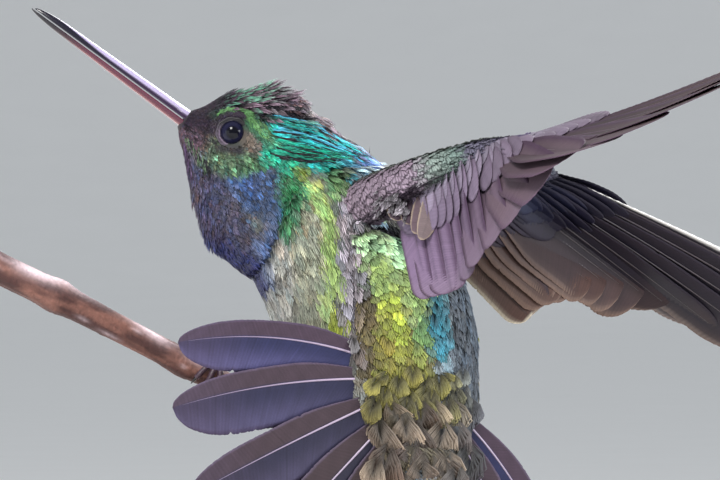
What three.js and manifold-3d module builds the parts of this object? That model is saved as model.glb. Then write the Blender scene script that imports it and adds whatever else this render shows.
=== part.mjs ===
// A male hummingbird that grips a twig, with both wings thrown up behind its back and its tail
// spread, mounted on a round wooden base. Millimetres, +Z up. The head is in profile towards -X,
// the back is turned towards +X and -Y, and the left side of the body towards -Y.
import * as THREE from "three";
import { mergeVertices } from "three/addons/utils/BufferGeometryUtils.js";
import Module from "manifold-3d";

const wasm = await Module();
wasm.setup();

const V = (x, y, z) => new THREE.Vector3(x, y, z);
const UP = V(0, 0, 1);
const DEPTH = V(0, 1, 0);

// ---- driving dimensions; places are measured from the middle of the breast ----

const GAP = 0.3; // clear space between neighbouring nodes
const MERGE = 1e-3; // corners closer than this are one

const BILL = {
  base: V(-18.9, 0, 18.9), // where the feathers end
  length: 18.8,
  rise: THREE.MathUtils.degToRad(36.4),
  baseHalfWidth: 1.1,
  tipHalfWidth: 0.3,
  upperDepth: 1.05,
  lowerDepth: 0.75,
  tipDepth: 0.34,
};

const EYE = { radius: 1.22, x: -14.2, z: 17.7, depth: 3.75, lidRadius: 1.42, lidTube: 0.3 };

// Rows of raised feathers on the body's surface. A place on it is a share of the way from bill to
// vent and a turn about the section, 0 along the crown and nape and PI along the throat.
const CREST = { rows: [0.14, 0.19, 0.24, 0.275], turns: [-0.5, 0, 0.5], reach: 0.06, rise: 0.6, width: 2.6 };
const NAPE = { rows: [0.37, 0.41], turns: [-0.45, 0, 0.45], reach: 0.08, rise: 0.45, width: 3 };

// The body from the bill's base to the vent: the centre of each section, how far the section's
// long axis leans from upright, its half height in profile and its half width across.
const SECTIONS = [
  { at: V(-19.2, 0, 19.1), lean: 35.5, high: 1.0, wide: 1.0 },
  { at: V(-18.4, 0, 18.7), lean: 35.5, high: 2.0, wide: 1.9 },
  { at: V(-16.7, 0, 18.5), lean: 35.5, high: 4.1, wide: 3.3 },
  { at: V(-14.2, 0, 16.9), lean: 35.5, high: 7.1, wide: 5.0 },
  { at: V(-11.6, 0, 13.7), lean: 35.5, high: 8.8, wide: 6.2 },
  { at: V(-8.7, 0, 10.9), lean: 36, high: 8.8, wide: 7.2 },
  { at: V(-6.7, 0, 9.5), lean: 46, high: 8.8, wide: 7.9 },
  { at: V(-5.1, 0, 7.2), lean: 60, high: 8.7, wide: 8.6 },
  { at: V(-1.4, 0, 2.3), lean: 72.5, high: 10.2, wide: 9.3 },
  { at: V(-0.2, 0, -3), lean: 78.5, high: 10.9, wide: 9.3 },
  { at: V(1.7, -0.6, -8.9), lean: 78.5, high: 9.4, wide: 8.4 },
  { at: V(3.9, -2, -13.9), lean: 72, high: 7, wide: 6.2 },
  { at: V(5.3, -4, -18), lean: 68, high: 4.2, wide: 3.6 },
  { at: V(6.1, -5, -20.2), lean: 66, high: 1.6, wide: 1.4 },
];
const BODY_RINGS = 25;
const BODY_SIDES = 20;

const HEAD_CUT = { at: V(-12.4, 0, 15.4), facing: V(0.66, 0, -0.75) };
const NECK_CUT = { at: V(-6.4, 0, 9.1), facing: V(0.72, 0, -0.69) };
const VENT_CUT = { at: V(3.4, 0, -14.2), facing: V(0.36, -0.2, -0.91) };

// The tail: a fan of ten feathers whose roots meet inside the rump.
const TAIL = {
  root: V(5, -5.9, -7),
  facing: V(0.35, -0.93, -0.1).normalize(), // the way its upper side looks
  spread: [171, 186, 206, 227, 243, 258, 272, 284, 294, 303], // degrees about the root, from +X
  bows: [2, 1.2, 0.3, 0, 0, 0, 0, 0.3, 1.2, 2], // how far each shaft bends outwards
  length: 27.4,
  outerLength: 26.4,
  width: 6.3,
  thick: 0.56,
  room: 0.75, // half the space that the overlapping blades take up
  topOfRump: V(8, 0, -0.9), // where the feathers come out from under the back
};

// Rows of coverts that hang over the roots of the tail, from the longest up: the height of the roots,
// how far the row hangs, how many feathers it has and how far they stand off the tail's plane.
const RUMP_ROWS = [
  { height: -10.2, length: 9.4, count: 6, lift: 1.5 },
  { height: -6.3, length: 7.6, count: 5, lift: 2 },
  { height: -1.6, length: 6.9, count: 5, lift: 2.45 },
];
const RUMP_SPAN = { rootFrom: 1, rootTo: 8.5, tipFrom: -0.8, tipTo: 10, width: 3.7 };
const VENT_ROWS = [{ turn: -0.9 }, { turn: -0.3 }, { turn: 0.3 }, { turn: 0.9 }];

// The wings. Feathers run from the innermost secondary (0) to the outermost primary (15).
const LEFT_WING = {
  inBody: V(-3, -3.4, 9.6),
  shoulder: V(1.4, -8.2, 12.4),
  wrist: V(10.5, -11.5, 15.9),
  handEnd: V(15.8, -14.4, 16.8),
  tips: [
    [0, V(5.3, -11, 1.2)],
    [3, V(8.6, -15, 2.4)],
    [5, V(10.5, -20, 5.4)],
    [7, V(14.5, -27.5, 10.6)],
    [9, V(19.7, -34.5, 15.7)],
    [10, V(23.3, -37.8, 16.8)],
    [12, V(33.6, -39.9, 21.9)],
    [15, V(51, -34.5, 31.9)],
  ],
  hand: 1,
};
const RIGHT_WING = {
  inBody: V(-1, 1.5, 7),
  shoulder: V(4.6, 0.8, 9.2),
  wrist: V(10.2, 1.8, 11.6),
  handEnd: V(17.6, 3, 13.6),
  tips: [
    [0, V(15.6, 4, -0.8)],
    [3, V(17.9, 5, 1.3)],
    [5, V(20.2, 7, 2.3)],
    [6, V(21.8, 8.5, 2.6)],
    [8, V(25.1, 11.5, 2.2)],
    [10, V(29.6, 14.5, 0.4)],
    [12, V(40.2, 16.5, -4.1)],
    [15, V(55.3, 15.5, -6.3)],
  ],
  hand: -1,
};
const SECONDARIES = 6;
const FLIGHT_FEATHERS = 16;
const FLIGHT = {
  thick: 0.56,
  armTilt: 5,
  handTilt: 2.5,
  bow: 0.05, // of the outermost primary, as a share of its length
  widths: [[0, 3.6], [5, 4], [8, 5], [13, 5.2], [15, 4.4]],
};
// Rows of wing coverts on each face: which feathers they lie between, how many there are, what share
// of the flight feather they reach, the longest they get, and how far they stand off the blades.
const WING_ROWS = [
  { from: 0.3, to: 12.5, count: 7, share: 0.42, longest: 8.5, width: 4.4, lift: 0.95 },
  { from: 0.8, to: 8.5, count: 3, share: 0.24, longest: 4.6, width: 5, lift: 1.5 },
];

// Outlines of a blade: share of the length, share of the full width.
const FLIGHT_OUTLINE = [[0, 0.3], [0.45, 1], [0.86, 0.8], [1, 0.25]];
const TAIL_OUTLINE = [[0, 0.16], [0.2, 0.46], [0.5, 0.88], [0.8, 1], [0.94, 0.7], [1, 0.26]];
const COVERT_OUTLINE = [[0, 0.5], [0.6, 1], [1, 0.4]];

// The perch, a short cut length of twig that passes behind the belly.
const TWIG = {
  line: [V(-41.5, 2.9, 6.1), V(-29, 6.2, -0.2), V(-18, 9, -6), V(-8, 11.3, -11.2), V(6, 14.5, -18.2)],
  thickEnd: 1.6,
  thinEnd: 0.95,
  knots: [0.2, 0.47, 0.71], // swellings where leaves once grew
  knotRise: 0.25,
  knotLength: 0.025,
};
const FEET = { left: 0.52, right: 0.67, toeRadius: 0.36, clawRadius: 0.14, leg: 0.42, thigh: 1.8 };

const STAND = {
  centre: V(0, 4, 0),
  baseTop: -36.6,
  baseThick: 6,
  baseRadius: 33,
  bevel: 1.2,
  rodRadius: 1.3,
  collarRadius: 3.2,
  collarHeight: 2.4,
  rodAt: 0.86, // how far along the twig the rod holds it
};

// ---- solids ----

/** The signed volume of an indexed triangle mesh. */
function signedVolume(points, index) {
  const corner = (i) => V().fromArray(points, 3 * index[i]);
  let total = 0;
  for (let i = 0; i < index.length; i += 3) {
    total += corner(i).dot(corner(i + 1).cross(corner(i + 2))) / 6;
  }
  return total;
}

/** A closed three.js geometry as a manifold solid, faces turned outwards. */
function solid(geometry) {
  const bare = new THREE.BufferGeometry();
  bare.setAttribute("position", geometry.getAttribute("position"));
  bare.setIndex(geometry.index);
  const merged = mergeVertices(bare, MERGE);
  const vertProperties = new Float32Array(merged.attributes.position.array);
  const triVerts = new Uint32Array(merged.index.array);
  if (signedVolume(vertProperties, triVerts) < 0) triVerts.reverse();
  return new wasm.Manifold(new wasm.Mesh({ numProp: 3, vertProperties, triVerts }));
}

/** The largest closed surface of a solid. */
function largest(shape) {
  const pieces = shape.decompose();
  return pieces.reduce((a, b) => (a.volume() > b.volume() ? a : b));
}

function geometryOf(shape) {
  const mesh = shape.getMesh();
  const geometry = new THREE.BufferGeometry();
  geometry.setAttribute("position", new THREE.BufferAttribute(mesh.vertProperties, 3));
  geometry.setIndex(new THREE.BufferAttribute(mesh.triVerts, 1));
  geometry.computeVertexNormals();
  return geometry;
}

/** Keeps what lies beyond a plane, at least `clear` past it. */
function beyond(shape, plane, clear = 0) {
  const normal = plane.facing.clone().normalize();
  return shape.trimByPlane(normal.toArray(), normal.dot(plane.at) + clear);
}

/** Keeps what lies before a plane, at least `clear` short of it. */
function before(shape, plane, clear = 0) {
  return beyond(shape, { at: plane.at, facing: plane.facing.clone().negate() }, clear);
}

/** A closed skin over rings of equal length, with a fan at each end. On a blade the second half of each
 *  ring is its lower face, which is split into triangles like the upper one. */
function loft(rings, isBlade = false) {
  const sides = rings[0].length;
  const points = rings.flat();
  const middle = (ring) => ring.reduce((sum, p) => sum.add(p), V(0, 0, 0)).divideScalar(ring.length);
  const start = points.push(middle(rings[0])) - 1;
  const end = points.push(middle(rings.at(-1))) - 1;
  const index = [];
  for (let i = 0; i < rings.length - 1; i++) {
    for (let j = 0; j < sides; j++) {
      const [a, b] = [i * sides + j, i * sides + ((j + 1) % sides)];
      const below = isBlade && j >= sides / 2 && j < sides - 1;
      if (below) index.push(a, b, a + sides, b, b + sides, a + sides);
      else index.push(a, b, b + sides, a, b + sides, a + sides);
    }
  }
  const last = (rings.length - 1) * sides;
  for (let j = 0; j < sides; j++) {
    const next = (j + 1) % sides;
    index.push(start, next, j, end, last + j, last + next);
  }
  const geometry = new THREE.BufferGeometry().setFromPoints(points);
  geometry.setIndex(index);
  return solid(geometry);
}

/** An ellipse of points in the plane of two half axes. */
function ellipse(at, first, second, sides) {
  const ring = [];
  for (let j = 0; j < sides; j++) {
    const turn = (2 * Math.PI * j) / sides;
    ring.push(at.clone().addScaledVector(first, Math.cos(turn)).addScaledVector(second, Math.sin(turn)));
  }
  return ring;
}

/** A round tube along a curve; radius is a function of the way along it. */
function tube(curve, radius, steps, sides, reference = DEPTH) {
  const rings = [];
  for (let i = 0; i <= steps; i++) {
    const t = i / steps;
    const along = curve.getTangentAt(t);
    const first = reference.clone().cross(along).normalize();
    const second = along.clone().cross(first);
    const size = radius(t);
    rings.push(ellipse(curve.getPointAt(t), first.multiplyScalar(size), second.multiplyScalar(size), sides));
  }
  return loft(rings);
}

/** A feather as a thin blade. Its shaft runs from root to tip, bent towards its leading edge by `bow`.
 *  `lead` points across it to that edge, and `upper` out of its upper face; the leading edge rises by
 *  `tilt` degrees, so that neighbours lie like shingles. */
function feather({ root, tip, lead, upper, width, thick, outline, bow = 0, tilt = 0, leadShare = 0.5 }) {
  const bend = root.clone().lerp(tip, 0.5).addScaledVector(lead.clone().normalize(), 2 * bow);
  const shaft = new THREE.QuadraticBezierCurve3(root, bend, tip);
  const lean = THREE.MathUtils.degToRad(tilt);
  const rings = outline.map(([t, share]) => {
    const along = shaft.getTangent(t).normalize();
    const side = lead.clone().projectOnPlane(along).normalize();
    const out = side.clone().cross(along);
    if (out.dot(upper) < 0) out.negate();
    const across = side.clone().multiplyScalar(Math.cos(lean)).addScaledVector(out, Math.sin(lean));
    const above = out.multiplyScalar(Math.cos(lean)).addScaledVector(side, -Math.sin(lean));
    const half = (thick / 2) * (1 - 0.3 * t);
    const at = shaft.getPoint(t);
    const corner = (out1, out2) => at.clone().addScaledVector(across, out1).addScaledVector(above, out2);
    const [front, back] = [width * share * leadShare, -width * share * (1 - leadShare)];
    return [corner(front, half), corner(back, half), corner(back, -half), corner(front, -half)];
  });
  return loft(rings, true);
}

/** A smooth curve through keyed points, read at a feather's number. */
function keyed(keys) {
  const curve = new THREE.CatmullRomCurve3(keys.map(([, p]) => p), false, "centripetal");
  return (n) => {
    let k = 0;
    while (k < keys.length - 2 && n > keys[k + 1][0]) k++;
    const part = (n - keys[k][0]) / (keys[k + 1][0] - keys[k][0]);
    return curve.getPoint((k + part) / (keys.length - 1));
  };
}

// ---- the body ----

const sectionCurve = (read) => new THREE.CatmullRomCurve3(SECTIONS.map(read), false, "centripetal");
const spine = sectionCurve((section) => section.at);
const leanOf = sectionCurve((section, i) => V(i, section.lean, 0));
const highOf = sectionCurve((section, i) => V(i, section.high, 0));
const wideOf = sectionCurve((section, i) => V(i, section.wide, 0));

/** The centre and the two half axes of the body's section at a share of the way from bill to vent. */
function section(t, grow) {
  const tilt = THREE.MathUtils.degToRad(leanOf.getPoint(t).y);
  const first = V(Math.sin(tilt), 0, Math.cos(tilt)).multiplyScalar(highOf.getPoint(t).y + grow);
  const second = DEPTH.clone().multiplyScalar(wideOf.getPoint(t).y + grow);
  return [spine.getPoint(t), first, second];
}

/** A point on the body's surface; the turn is 0 on the crown and PI on the throat, and -Y is negative. */
function surface(t, turn, grow = 0) {
  const [at, first, second] = section(t, grow);
  return at.addScaledVector(first, Math.cos(turn)).addScaledVector(second, Math.sin(turn));
}

/** The feathered body in one piece, with `grow` added to every section. */
function bodyShape(grow = 0) {
  const rings = [];
  for (let i = 0; i < BODY_RINGS; i++) {
    const [at, first, second] = section(i / (BODY_RINGS - 1), grow);
    rings.push(ellipse(at, first, second, BODY_SIDES));
  }
  return loft(rings);
}

/** Short feathers in staggered rows, rooted inside the body and standing off it at their tips. */
function tufts({ rows, turns, reach, rise, width }) {
  const blades = [];
  rows.forEach((t, row) => {
    turns.forEach((turn, column) => {
      const at = turn + (row % 2 ? 0.5 : 0) * (turns[1] - turns[0]) * (column % 2 ? 1 : 0.8);
      const root = surface(t, at, -0.7);
      const tip = surface(t + reach * (column % 2 ? 1 : 0.85), at, rise);
      const upper = surface(t, at, 1).sub(root);
      const lead = upper.clone().cross(tip.clone().sub(root));
      blades.push(feather({ root, tip, lead, upper, width, thick: 0.5, outline: COVERT_OUTLINE, tilt: 6 }));
    });
  });
  return wasm.Manifold.union(blades);
}

const body = bodyShape();
const bodyRoom = bodyShape(GAP); // the body with the clear space round it

// ---- bill and head ----

const billAlong = V(-Math.cos(BILL.rise), 0, Math.sin(BILL.rise));
const billUp = V(Math.sin(BILL.rise), 0, Math.cos(BILL.rise));

/** One half of the bill: an arch on a flat, tapering from base to tip; side 1 is the upper half. */
function mandible(side, baseDepth, length) {
  const rings = [];
  const steps = 6;
  for (let i = 0; i <= steps; i++) {
    const t = i / steps;
    const fall = Math.pow(t, 0.62);
    const half = THREE.MathUtils.lerp(BILL.baseHalfWidth, BILL.tipHalfWidth, fall);
    const depth = THREE.MathUtils.lerp(baseDepth, BILL.tipDepth, fall) * (i === steps ? 0.6 : 1);
    const at = BILL.base.clone().addScaledVector(billAlong, t * length);
    at.addScaledVector(billUp, (side * GAP) / 2);
    const ring = [];
    for (let j = 0; j <= 6; j++) {
      const turn = (Math.PI * j) / 6;
      const p = at.clone().addScaledVector(DEPTH, half * Math.cos(turn));
      ring.push(p.addScaledVector(billUp, side * depth * Math.sin(turn)));
    }
    rings.push(ring);
  }
  return loft(rings);
}

function placed(geometry, at) {
  return solid(geometry.translate(at.x, at.y, at.z));
}

/** Nostril slits, one on each side of the upper half of the bill, close to the feathers. */
function nostrils() {
  return [-1, 1].map((side) => {
    const slit = new THREE.SphereGeometry(0.3, 7, 4).scale(2.4, 1, 0.7).rotateY(BILL.rise);
    const at = BILL.base.clone().addScaledVector(billAlong, 1.6).addScaledVector(billUp, 0.55);
    return placed(slit, at.addScaledVector(DEPTH, side * 1.02));
  });
}

const billUpper = nostrils().reduce((a, b) => a.subtract(b), mandible(1, BILL.upperDepth, BILL.length));
const billLower = mandible(-1, BILL.lowerDepth, BILL.length + 0.3);

const eyeAt = (side) => V(EYE.x, side * EYE.depth, EYE.z);

function eye(side, grow = 0) {
  return placed(new THREE.SphereGeometry(EYE.radius + grow, 12, 8), eyeAt(side));
}

function lids(side) {
  const ring = new THREE.TorusGeometry(EYE.lidRadius, EYE.lidTube, 5, 12).rotateX(Math.PI / 2);
  return placed(ring, eyeAt(side).addScaledVector(DEPTH, side * 1));
}

/** The corner of the mouth runs back from the bill as a thin cut. */
function mouthCorner() {
  const cut = new THREE.BoxGeometry(3.2, 4.4, GAP).rotateY(BILL.rise);
  return placed(cut, BILL.base.clone().addScaledVector(billAlong, -0.4));
}

function headShape() {
  let shape = before(body, HEAD_CUT, GAP / 2);
  shape = before(shape, { at: BILL.base, facing: billAlong }, GAP);
  for (const side of [-1, 1]) shape = shape.add(lids(side)).subtract(eye(side, GAP));
  const crest = tufts(CREST).subtract(beyond(bodyRoom, HEAD_CUT, -GAP / 2));
  return largest(shape.subtract(mouthCorner()).add(crest));
}

function neckShape() {
  const shape = before(beyond(body, HEAD_CUT, GAP / 2), NECK_CUT, GAP / 2);
  const raised = tufts(NAPE).subtract(beyond(bodyRoom, NECK_CUT, -GAP / 2));
  return largest(shape.add(raised.subtract(before(bodyRoom, HEAD_CUT, -GAP / 2))));
}

// ---- tail ----

const belowRump = { at: TAIL.topOfRump, facing: V(0.11, 0, -1) };
const tailPlane = { at: TAIL.root, facing: TAIL.facing };

/** The direction in the tail's plane that shows at an angle in profile. */
function tailDirection(degrees) {
  const turn = THREE.MathUtils.degToRad(degrees);
  const flat = V(Math.cos(turn), 0, Math.sin(turn));
  flat.y = -(flat.x * TAIL.facing.x + flat.z * TAIL.facing.z) / TAIL.facing.y;
  return flat.normalize();
}

/** The torso, with the seat of the tail cut out of its back and the vent cut off. */
function torsoShape() {
  const whole = before(beyond(body, NECK_CUT, GAP / 2), VENT_CUT, GAP / 2);
  const seat = beyond(beyond(bodyRoom, belowRump), tailPlane, -TAIL.room - GAP);
  return largest(whole.subtract(seat));
}

/** A point at a place in profile, standing off the tail's plane. */
function overTail(x, z, lift) {
  const plane = TAIL.facing;
  const y = TAIL.root.y - ((x - TAIL.root.x) * plane.x + (z - TAIL.root.z) * plane.z) / plane.y;
  return V(x, y, z).addScaledVector(plane, lift);
}

/** The rump over the roots of the tail, with the upper tail coverts. */
function rumpShape() {
  const { rootFrom, rootTo, tipFrom, tipTo, width } = RUMP_SPAN;
  const blades = [];
  for (const { height, length, count, lift } of RUMP_ROWS) {
    for (let i = 0; i < count; i++) {
      const u = i / (count - 1);
      const droop = 1 - 0.16 * Math.abs(2 * u - 1);
      const root = overTail(THREE.MathUtils.lerp(rootFrom, rootTo, u), height, lift + 0.1);
      const tip = overTail(THREE.MathUtils.lerp(tipFrom, tipTo, u), height - length * droop, lift);
      const lead = V(Math.sign(u - 0.5) || 1, 0, 0);
      blades.push(feather({
        root, tip, lead, upper: TAIL.facing, width, thick: 0.5, outline: COVERT_OUTLINE, tilt: -4,
      }));
    }
  }
  const back = before(bodyRoom, belowRump, -GAP);
  return largest(beyond(wasm.Manifold.union([body, ...blades]).subtract(back), tailPlane, TAIL.room + GAP));
}

/** The end of the belly behind the tail, with the under tail coverts. */
function ventShape() {
  const blades = VENT_ROWS.map(({ turn }) => {
    const root = surface(0.9, Math.PI + turn, -1);
    const tip = surface(0.985, Math.PI + turn * 0.8, 1.5).add(V(0.4, 0, -2.4));
    const upper = surface(0.9, Math.PI + turn, 1).sub(root);
    const lead = upper.clone().cross(tip.clone().sub(root));
    return feather({ root, tip, lead, upper, width: 3.4, thick: 0.5, outline: COVERT_OUTLINE, tilt: 5 });
  });
  const whole = wasm.Manifold.union([body, ...blades]);
  return largest(before(beyond(whole, VENT_CUT, GAP / 2), tailPlane, TAIL.room + GAP));
}

/** Ten tail feathers; each lies over the next one outwards. */
function tailShape() {
  const last = TAIL.spread.length - 1;
  const blades = TAIL.spread.map((degrees, i) => {
    const along = tailDirection(degrees);
    const outwards = i <= last / 2 ? -1 : 1;
    const lead = tailDirection(degrees + outwards * 90);
    const central = 1 - Math.abs((2 * i) / last - 1);
    const length = THREE.MathUtils.lerp(TAIL.outerLength, TAIL.length, central);
    const tip = TAIL.root.clone().addScaledVector(along, length);
    const root = TAIL.root.clone().addScaledVector(along, 0.8);
    return feather({
      root, tip, lead, upper: TAIL.facing, width: TAIL.width, thick: TAIL.thick, outline: TAIL_OUTLINE,
      bow: TAIL.bows[i], tilt: 3.5, leadShare: THREE.MathUtils.lerp(0.26, 0.45, central),
    });
  });
  return largest(wasm.Manifold.union(blades));
}

// ---- wings ----

/** Where the feathers of a wing are rooted, where they end, and how their faces are turned. */
function wingPlan(wing) {
  const tipAt = keyed(wing.tips);
  const widthAt = keyed(FLIGHT.widths.map(([n, width]) => [n, V(width, 0, 0)]));
  const last = FLIGHT_FEATHERS - 1;
  const rootAt = (n) =>
    n < SECONDARIES
      ? wing.shoulder.clone().lerp(wing.wrist, 0.16 + (0.8 * n) / SECONDARIES)
      : wing.wrist.clone().lerp(wing.handEnd, (n - SECONDARIES) / (last - SECONDARIES));
  const place = (n) => {
    const [root, tip] = [rootAt(n), tipAt(n)];
    const lead = tipAt(Math.min(n + 0.5, last)).sub(tipAt(Math.max(n - 0.5, 0)));
    const upper = lead.clone().cross(tip.clone().sub(root)).normalize().multiplyScalar(wing.hand);
    return { root, tip, lead, upper, width: widthAt(n).x };
  };
  return place;
}

/** A whole wing: arm, flight feathers, and rows of coverts on both faces. */
function wingShape(wing) {
  const place = wingPlan(wing);
  const last = FLIGHT_FEATHERS - 1;
  const bone = new THREE.CatmullRomCurve3([wing.inBody, wing.shoulder, wing.wrist, wing.handEnd]);
  const pieces = [tube(bone, (t) => THREE.MathUtils.lerp(2.3, 0.5, t), 6, 8, UP)];
  for (let n = 0; n <= last; n++) {
    const { root, tip, lead, upper, width } = place(n);
    const outwards = Math.max(0, n - SECONDARIES) / (last - SECONDARIES);
    const bow = FLIGHT.bow * outwards * root.distanceTo(tip);
    pieces.push(feather({
      root, tip, lead, upper, width, bow, thick: FLIGHT.thick, outline: FLIGHT_OUTLINE,
      tilt: n < SECONDARIES ? FLIGHT.armTilt : FLIGHT.handTilt, leadShare: 0.38,
    }));
  }
  for (const face of [1, -1]) {
    for (const { from, to, count, share, longest, width, lift } of WING_ROWS) {
      for (let i = 0; i < count; i++) {
        const { root, tip, lead, upper } = place(THREE.MathUtils.lerp(from, to, i / (count - 1)));
        const reach = Math.min(share * root.distanceTo(tip), longest);
        const along = tip.clone().sub(root).normalize();
        const start = root.clone().addScaledVector(upper, 0.35 * face);
        const end = root.clone().addScaledVector(along, reach).addScaledVector(upper, lift * face);
        pieces.push(feather({
          root: start, tip: end, lead, upper, width, thick: 0.5, outline: COVERT_OUTLINE, tilt: 5,
        }));
      }
    }
  }
  return largest(wasm.Manifold.union(pieces).subtract(bodyRoom));
}

/** The thin cut at the wrist, between the secondaries and the primaries. */
function wristCut(wing) {
  const { lead, upper, tip } = wingPlan(wing)(SECONDARIES - 0.5);
  const along = tip.sub(wing.wrist);
  const facing = along.clone().cross(upper);
  if (facing.dot(lead) < 0) facing.negate();
  return { at: wing.wrist, facing };
}

// ---- perch, legs and stand ----

const twigLine = new THREE.CatmullRomCurve3(TWIG.line);
const twigRadius = (t) => THREE.MathUtils.lerp(TWIG.thickEnd, TWIG.thinEnd, t);

/** The twig swells at its knots. */
function twigShape() {
  const knot = (t, at) => TWIG.knotRise * Math.exp(-(((t - at) / TWIG.knotLength) ** 2));
  const radius = (t) => TWIG.knots.reduce((sum, at) => sum + knot(t, at), twigRadius(t));
  return tube(twigLine, radius, 28, 8);
}

/** One foot: three toes over the near side of the twig and one behind, each ending in a claw. */
function footShape(along) {
  const axis = twigLine.getTangentAt(along);
  const centre = twigLine.getPointAt(along);
  const ring = twigRadius(along) + GAP + FEET.toeRadius;
  const top = V(0.45, -0.3, 0.85).projectOnPlane(axis).normalize();
  const near = axis.clone().cross(top);
  if (near.y > 0) near.negate();
  const toe = (turnEnd, slide) => {
    const points = [];
    for (let i = 0; i <= 8; i++) {
      const turn = THREE.MathUtils.degToRad((turnEnd * i) / 8);
      const p = centre.clone().addScaledVector(top, ring * Math.cos(turn));
      p.addScaledVector(near, ring * Math.sin(turn));
      points.push(p.addScaledVector(axis, slide * Math.sin((Math.PI * i) / 16)));
    }
    const claw = (t) => THREE.MathUtils.lerp(FEET.toeRadius, FEET.clawRadius, (t - 0.7) / 0.3);
    const radius = (t) => (t < 0.7 ? FEET.toeRadius : claw(t));
    return tube(new THREE.CatmullRomCurve3(points), radius, 8, 6, axis);
  };
  const toes = [toe(125, -1.3), toe(140, 0), toe(125, 1.3), toe(-130, 0)];
  return { shape: largest(wasm.Manifold.union(toes)), top: centre.clone().addScaledVector(top, ring) };
}

/** A leg: a downy thigh that leaves the belly and a thin shank down to the foot. */
function legShape(hip, ankle) {
  const line = new THREE.LineCurve3(hip, ankle);
  const radius = (t) => (t < 0.5 ? THREE.MathUtils.lerp(FEET.thigh, FEET.thigh * 0.6, t * 2) : FEET.leg);
  return tube(line, radius, 8, 8, UP);
}

const leftFoot = footShape(FEET.left);
const rightFoot = footShape(FEET.right);

function leg(foot, hip) {
  const away = foot.top.clone().sub(hip).normalize();
  const shape = legShape(hip, foot.top).subtract(bodyRoom);
  const end = foot.top.clone().addScaledVector(away, -FEET.toeRadius);
  return largest(before(shape, { at: end, facing: away }, GAP));
}

function standBase() {
  const { baseRadius: r, baseThick: h, bevel } = STAND;
  const profile = [[0, 0], [r - 0.6, 0], [r, 0.6], [r, h - bevel], [r - bevel, h], [0, h]];
  const disc = new THREE.LatheGeometry(profile.map(([x, y]) => new THREE.Vector2(x, y)), 40);
  const at = V(STAND.centre.x, STAND.centre.y, STAND.baseTop - h);
  return placed(disc.rotateX(Math.PI / 2), at);
}

function upright(radius, low, high, x, y, sides) {
  const rod = new THREE.CylinderGeometry(radius, radius, high - low, sides).rotateX(Math.PI / 2);
  return placed(rod, V(x, y, (low + high) / 2));
}

function standRod() {
  const held = twigLine.getPointAt(STAND.rodAt);
  const low = STAND.baseTop + GAP;
  const room = tube(twigLine, (t) => twigRadius(t) + GAP, 26, 12);
  const rod = upright(STAND.rodRadius, low, held.z, held.x, held.y, 20);
  const saddle = upright(STAND.rodRadius + 0.7, held.z - 3.2, held.z - 0.2, held.x, held.y, 20);
  return largest(rod.add(saddle).subtract(room));
}

function standCollar() {
  const held = twigLine.getPointAt(STAND.rodAt);
  const low = STAND.baseTop + GAP;
  const { collarRadius: r, collarHeight: h } = STAND;
  const hole = STAND.rodRadius + GAP;
  const profile = [[hole, 0], [r, 0], [r, h * 0.5], [r - 1, h], [hole, h], [hole, 0]];
  const ring = new THREE.LatheGeometry(profile.map(([x, y]) => new THREE.Vector2(x, y)), 24);
  return placed(ring.rotateX(Math.PI / 2), V(held.x, held.y, low));
}

// ---- the model ----

const FINISH = {
  bill: { color: 0x1d1a20, roughness: 0.35, metalness: 0 },
  billLower: { color: 0xb2555a, roughness: 0.4, metalness: 0 },
  eye: { color: 0x0a0a12, roughness: 0.08, metalness: 0 },
  head: { color: 0x2f7f6c, roughness: 0.5, metalness: 0.1 },
  neck: { color: 0x2c6f80, roughness: 0.5, metalness: 0.1 },
  back: { color: 0x7d8a2c, roughness: 0.55, metalness: 0.1 },
  rump: { color: 0x75704a, roughness: 0.6, metalness: 0.05 },
  tail: { color: 0x4b4a63, roughness: 0.6, metalness: 0 },
  wing: { color: 0x6e5f6c, roughness: 0.6, metalness: 0 },
  leg: { color: 0xd9d2cc, roughness: 0.8, metalness: 0 },
  foot: { color: 0x2a2028, roughness: 0.6, metalness: 0 },
  bark: { color: 0x6a4336, roughness: 0.85, metalness: 0 },
  wood: { color: 0x8a5f3c, roughness: 0.6, metalness: 0 },
  metal: { color: 0xb8a070, roughness: 0.3, metalness: 1 },
};

const model = new THREE.Group();

/** Adds a node. Corners are merged once more, and the slivers that this pinches off are dropped. */
function part(name, shape, finish) {
  const kept = largest(solid(geometryOf(shape)));
  const mesh = new THREE.Mesh(geometryOf(kept), new THREE.MeshStandardMaterial(FINISH[finish]));
  mesh.name = name;
  model.add(mesh);
}

part("bill_upper", billUpper, "bill");
part("bill_lower", billLower, "billLower");
part("eye_left", eye(-1), "eye");
part("eye_right", eye(1), "eye");
part("head", headShape(), "head");
part("neck", neckShape(), "neck");
part("torso", torsoShape(), "back");
part("rump", rumpShape(), "rump");
part("vent", ventShape(), "rump");
part("tail", tailShape(), "tail");
for (const [side, wing] of [["left", LEFT_WING], ["right", RIGHT_WING]]) {
  const whole = wingShape(wing);
  const cut = wristCut(wing);
  part(`wing_${side}_arm`, largest(before(whole, cut, GAP / 2)), "wing");
  part(`wing_${side}_hand`, largest(beyond(whole, cut, GAP / 2)), "wing");
}
part("leg_left", leg(leftFoot, V(-8, 4, -4.5)), "leg");
part("leg_right", leg(rightFoot, V(-5, 6, -6)), "leg");
part("foot_left", leftFoot.shape, "foot");
part("foot_right", rightFoot.shape, "foot");
part("perch_twig", twigShape(), "bark");
part("stand_rod", standRod(), "metal");
part("stand_collar", standCollar(), "metal");
part("stand_base", standBase(), "wood");

// The origin is on the floor, under the middle of the whole model.
const box = new THREE.Box3().setFromObject(model);
const middle = box.getCenter(V());
model.position.set(-middle.x, -middle.y, -box.min.z);

const hummingbird = new THREE.Group();
hummingbird.add(model);
export default hummingbird;
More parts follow.
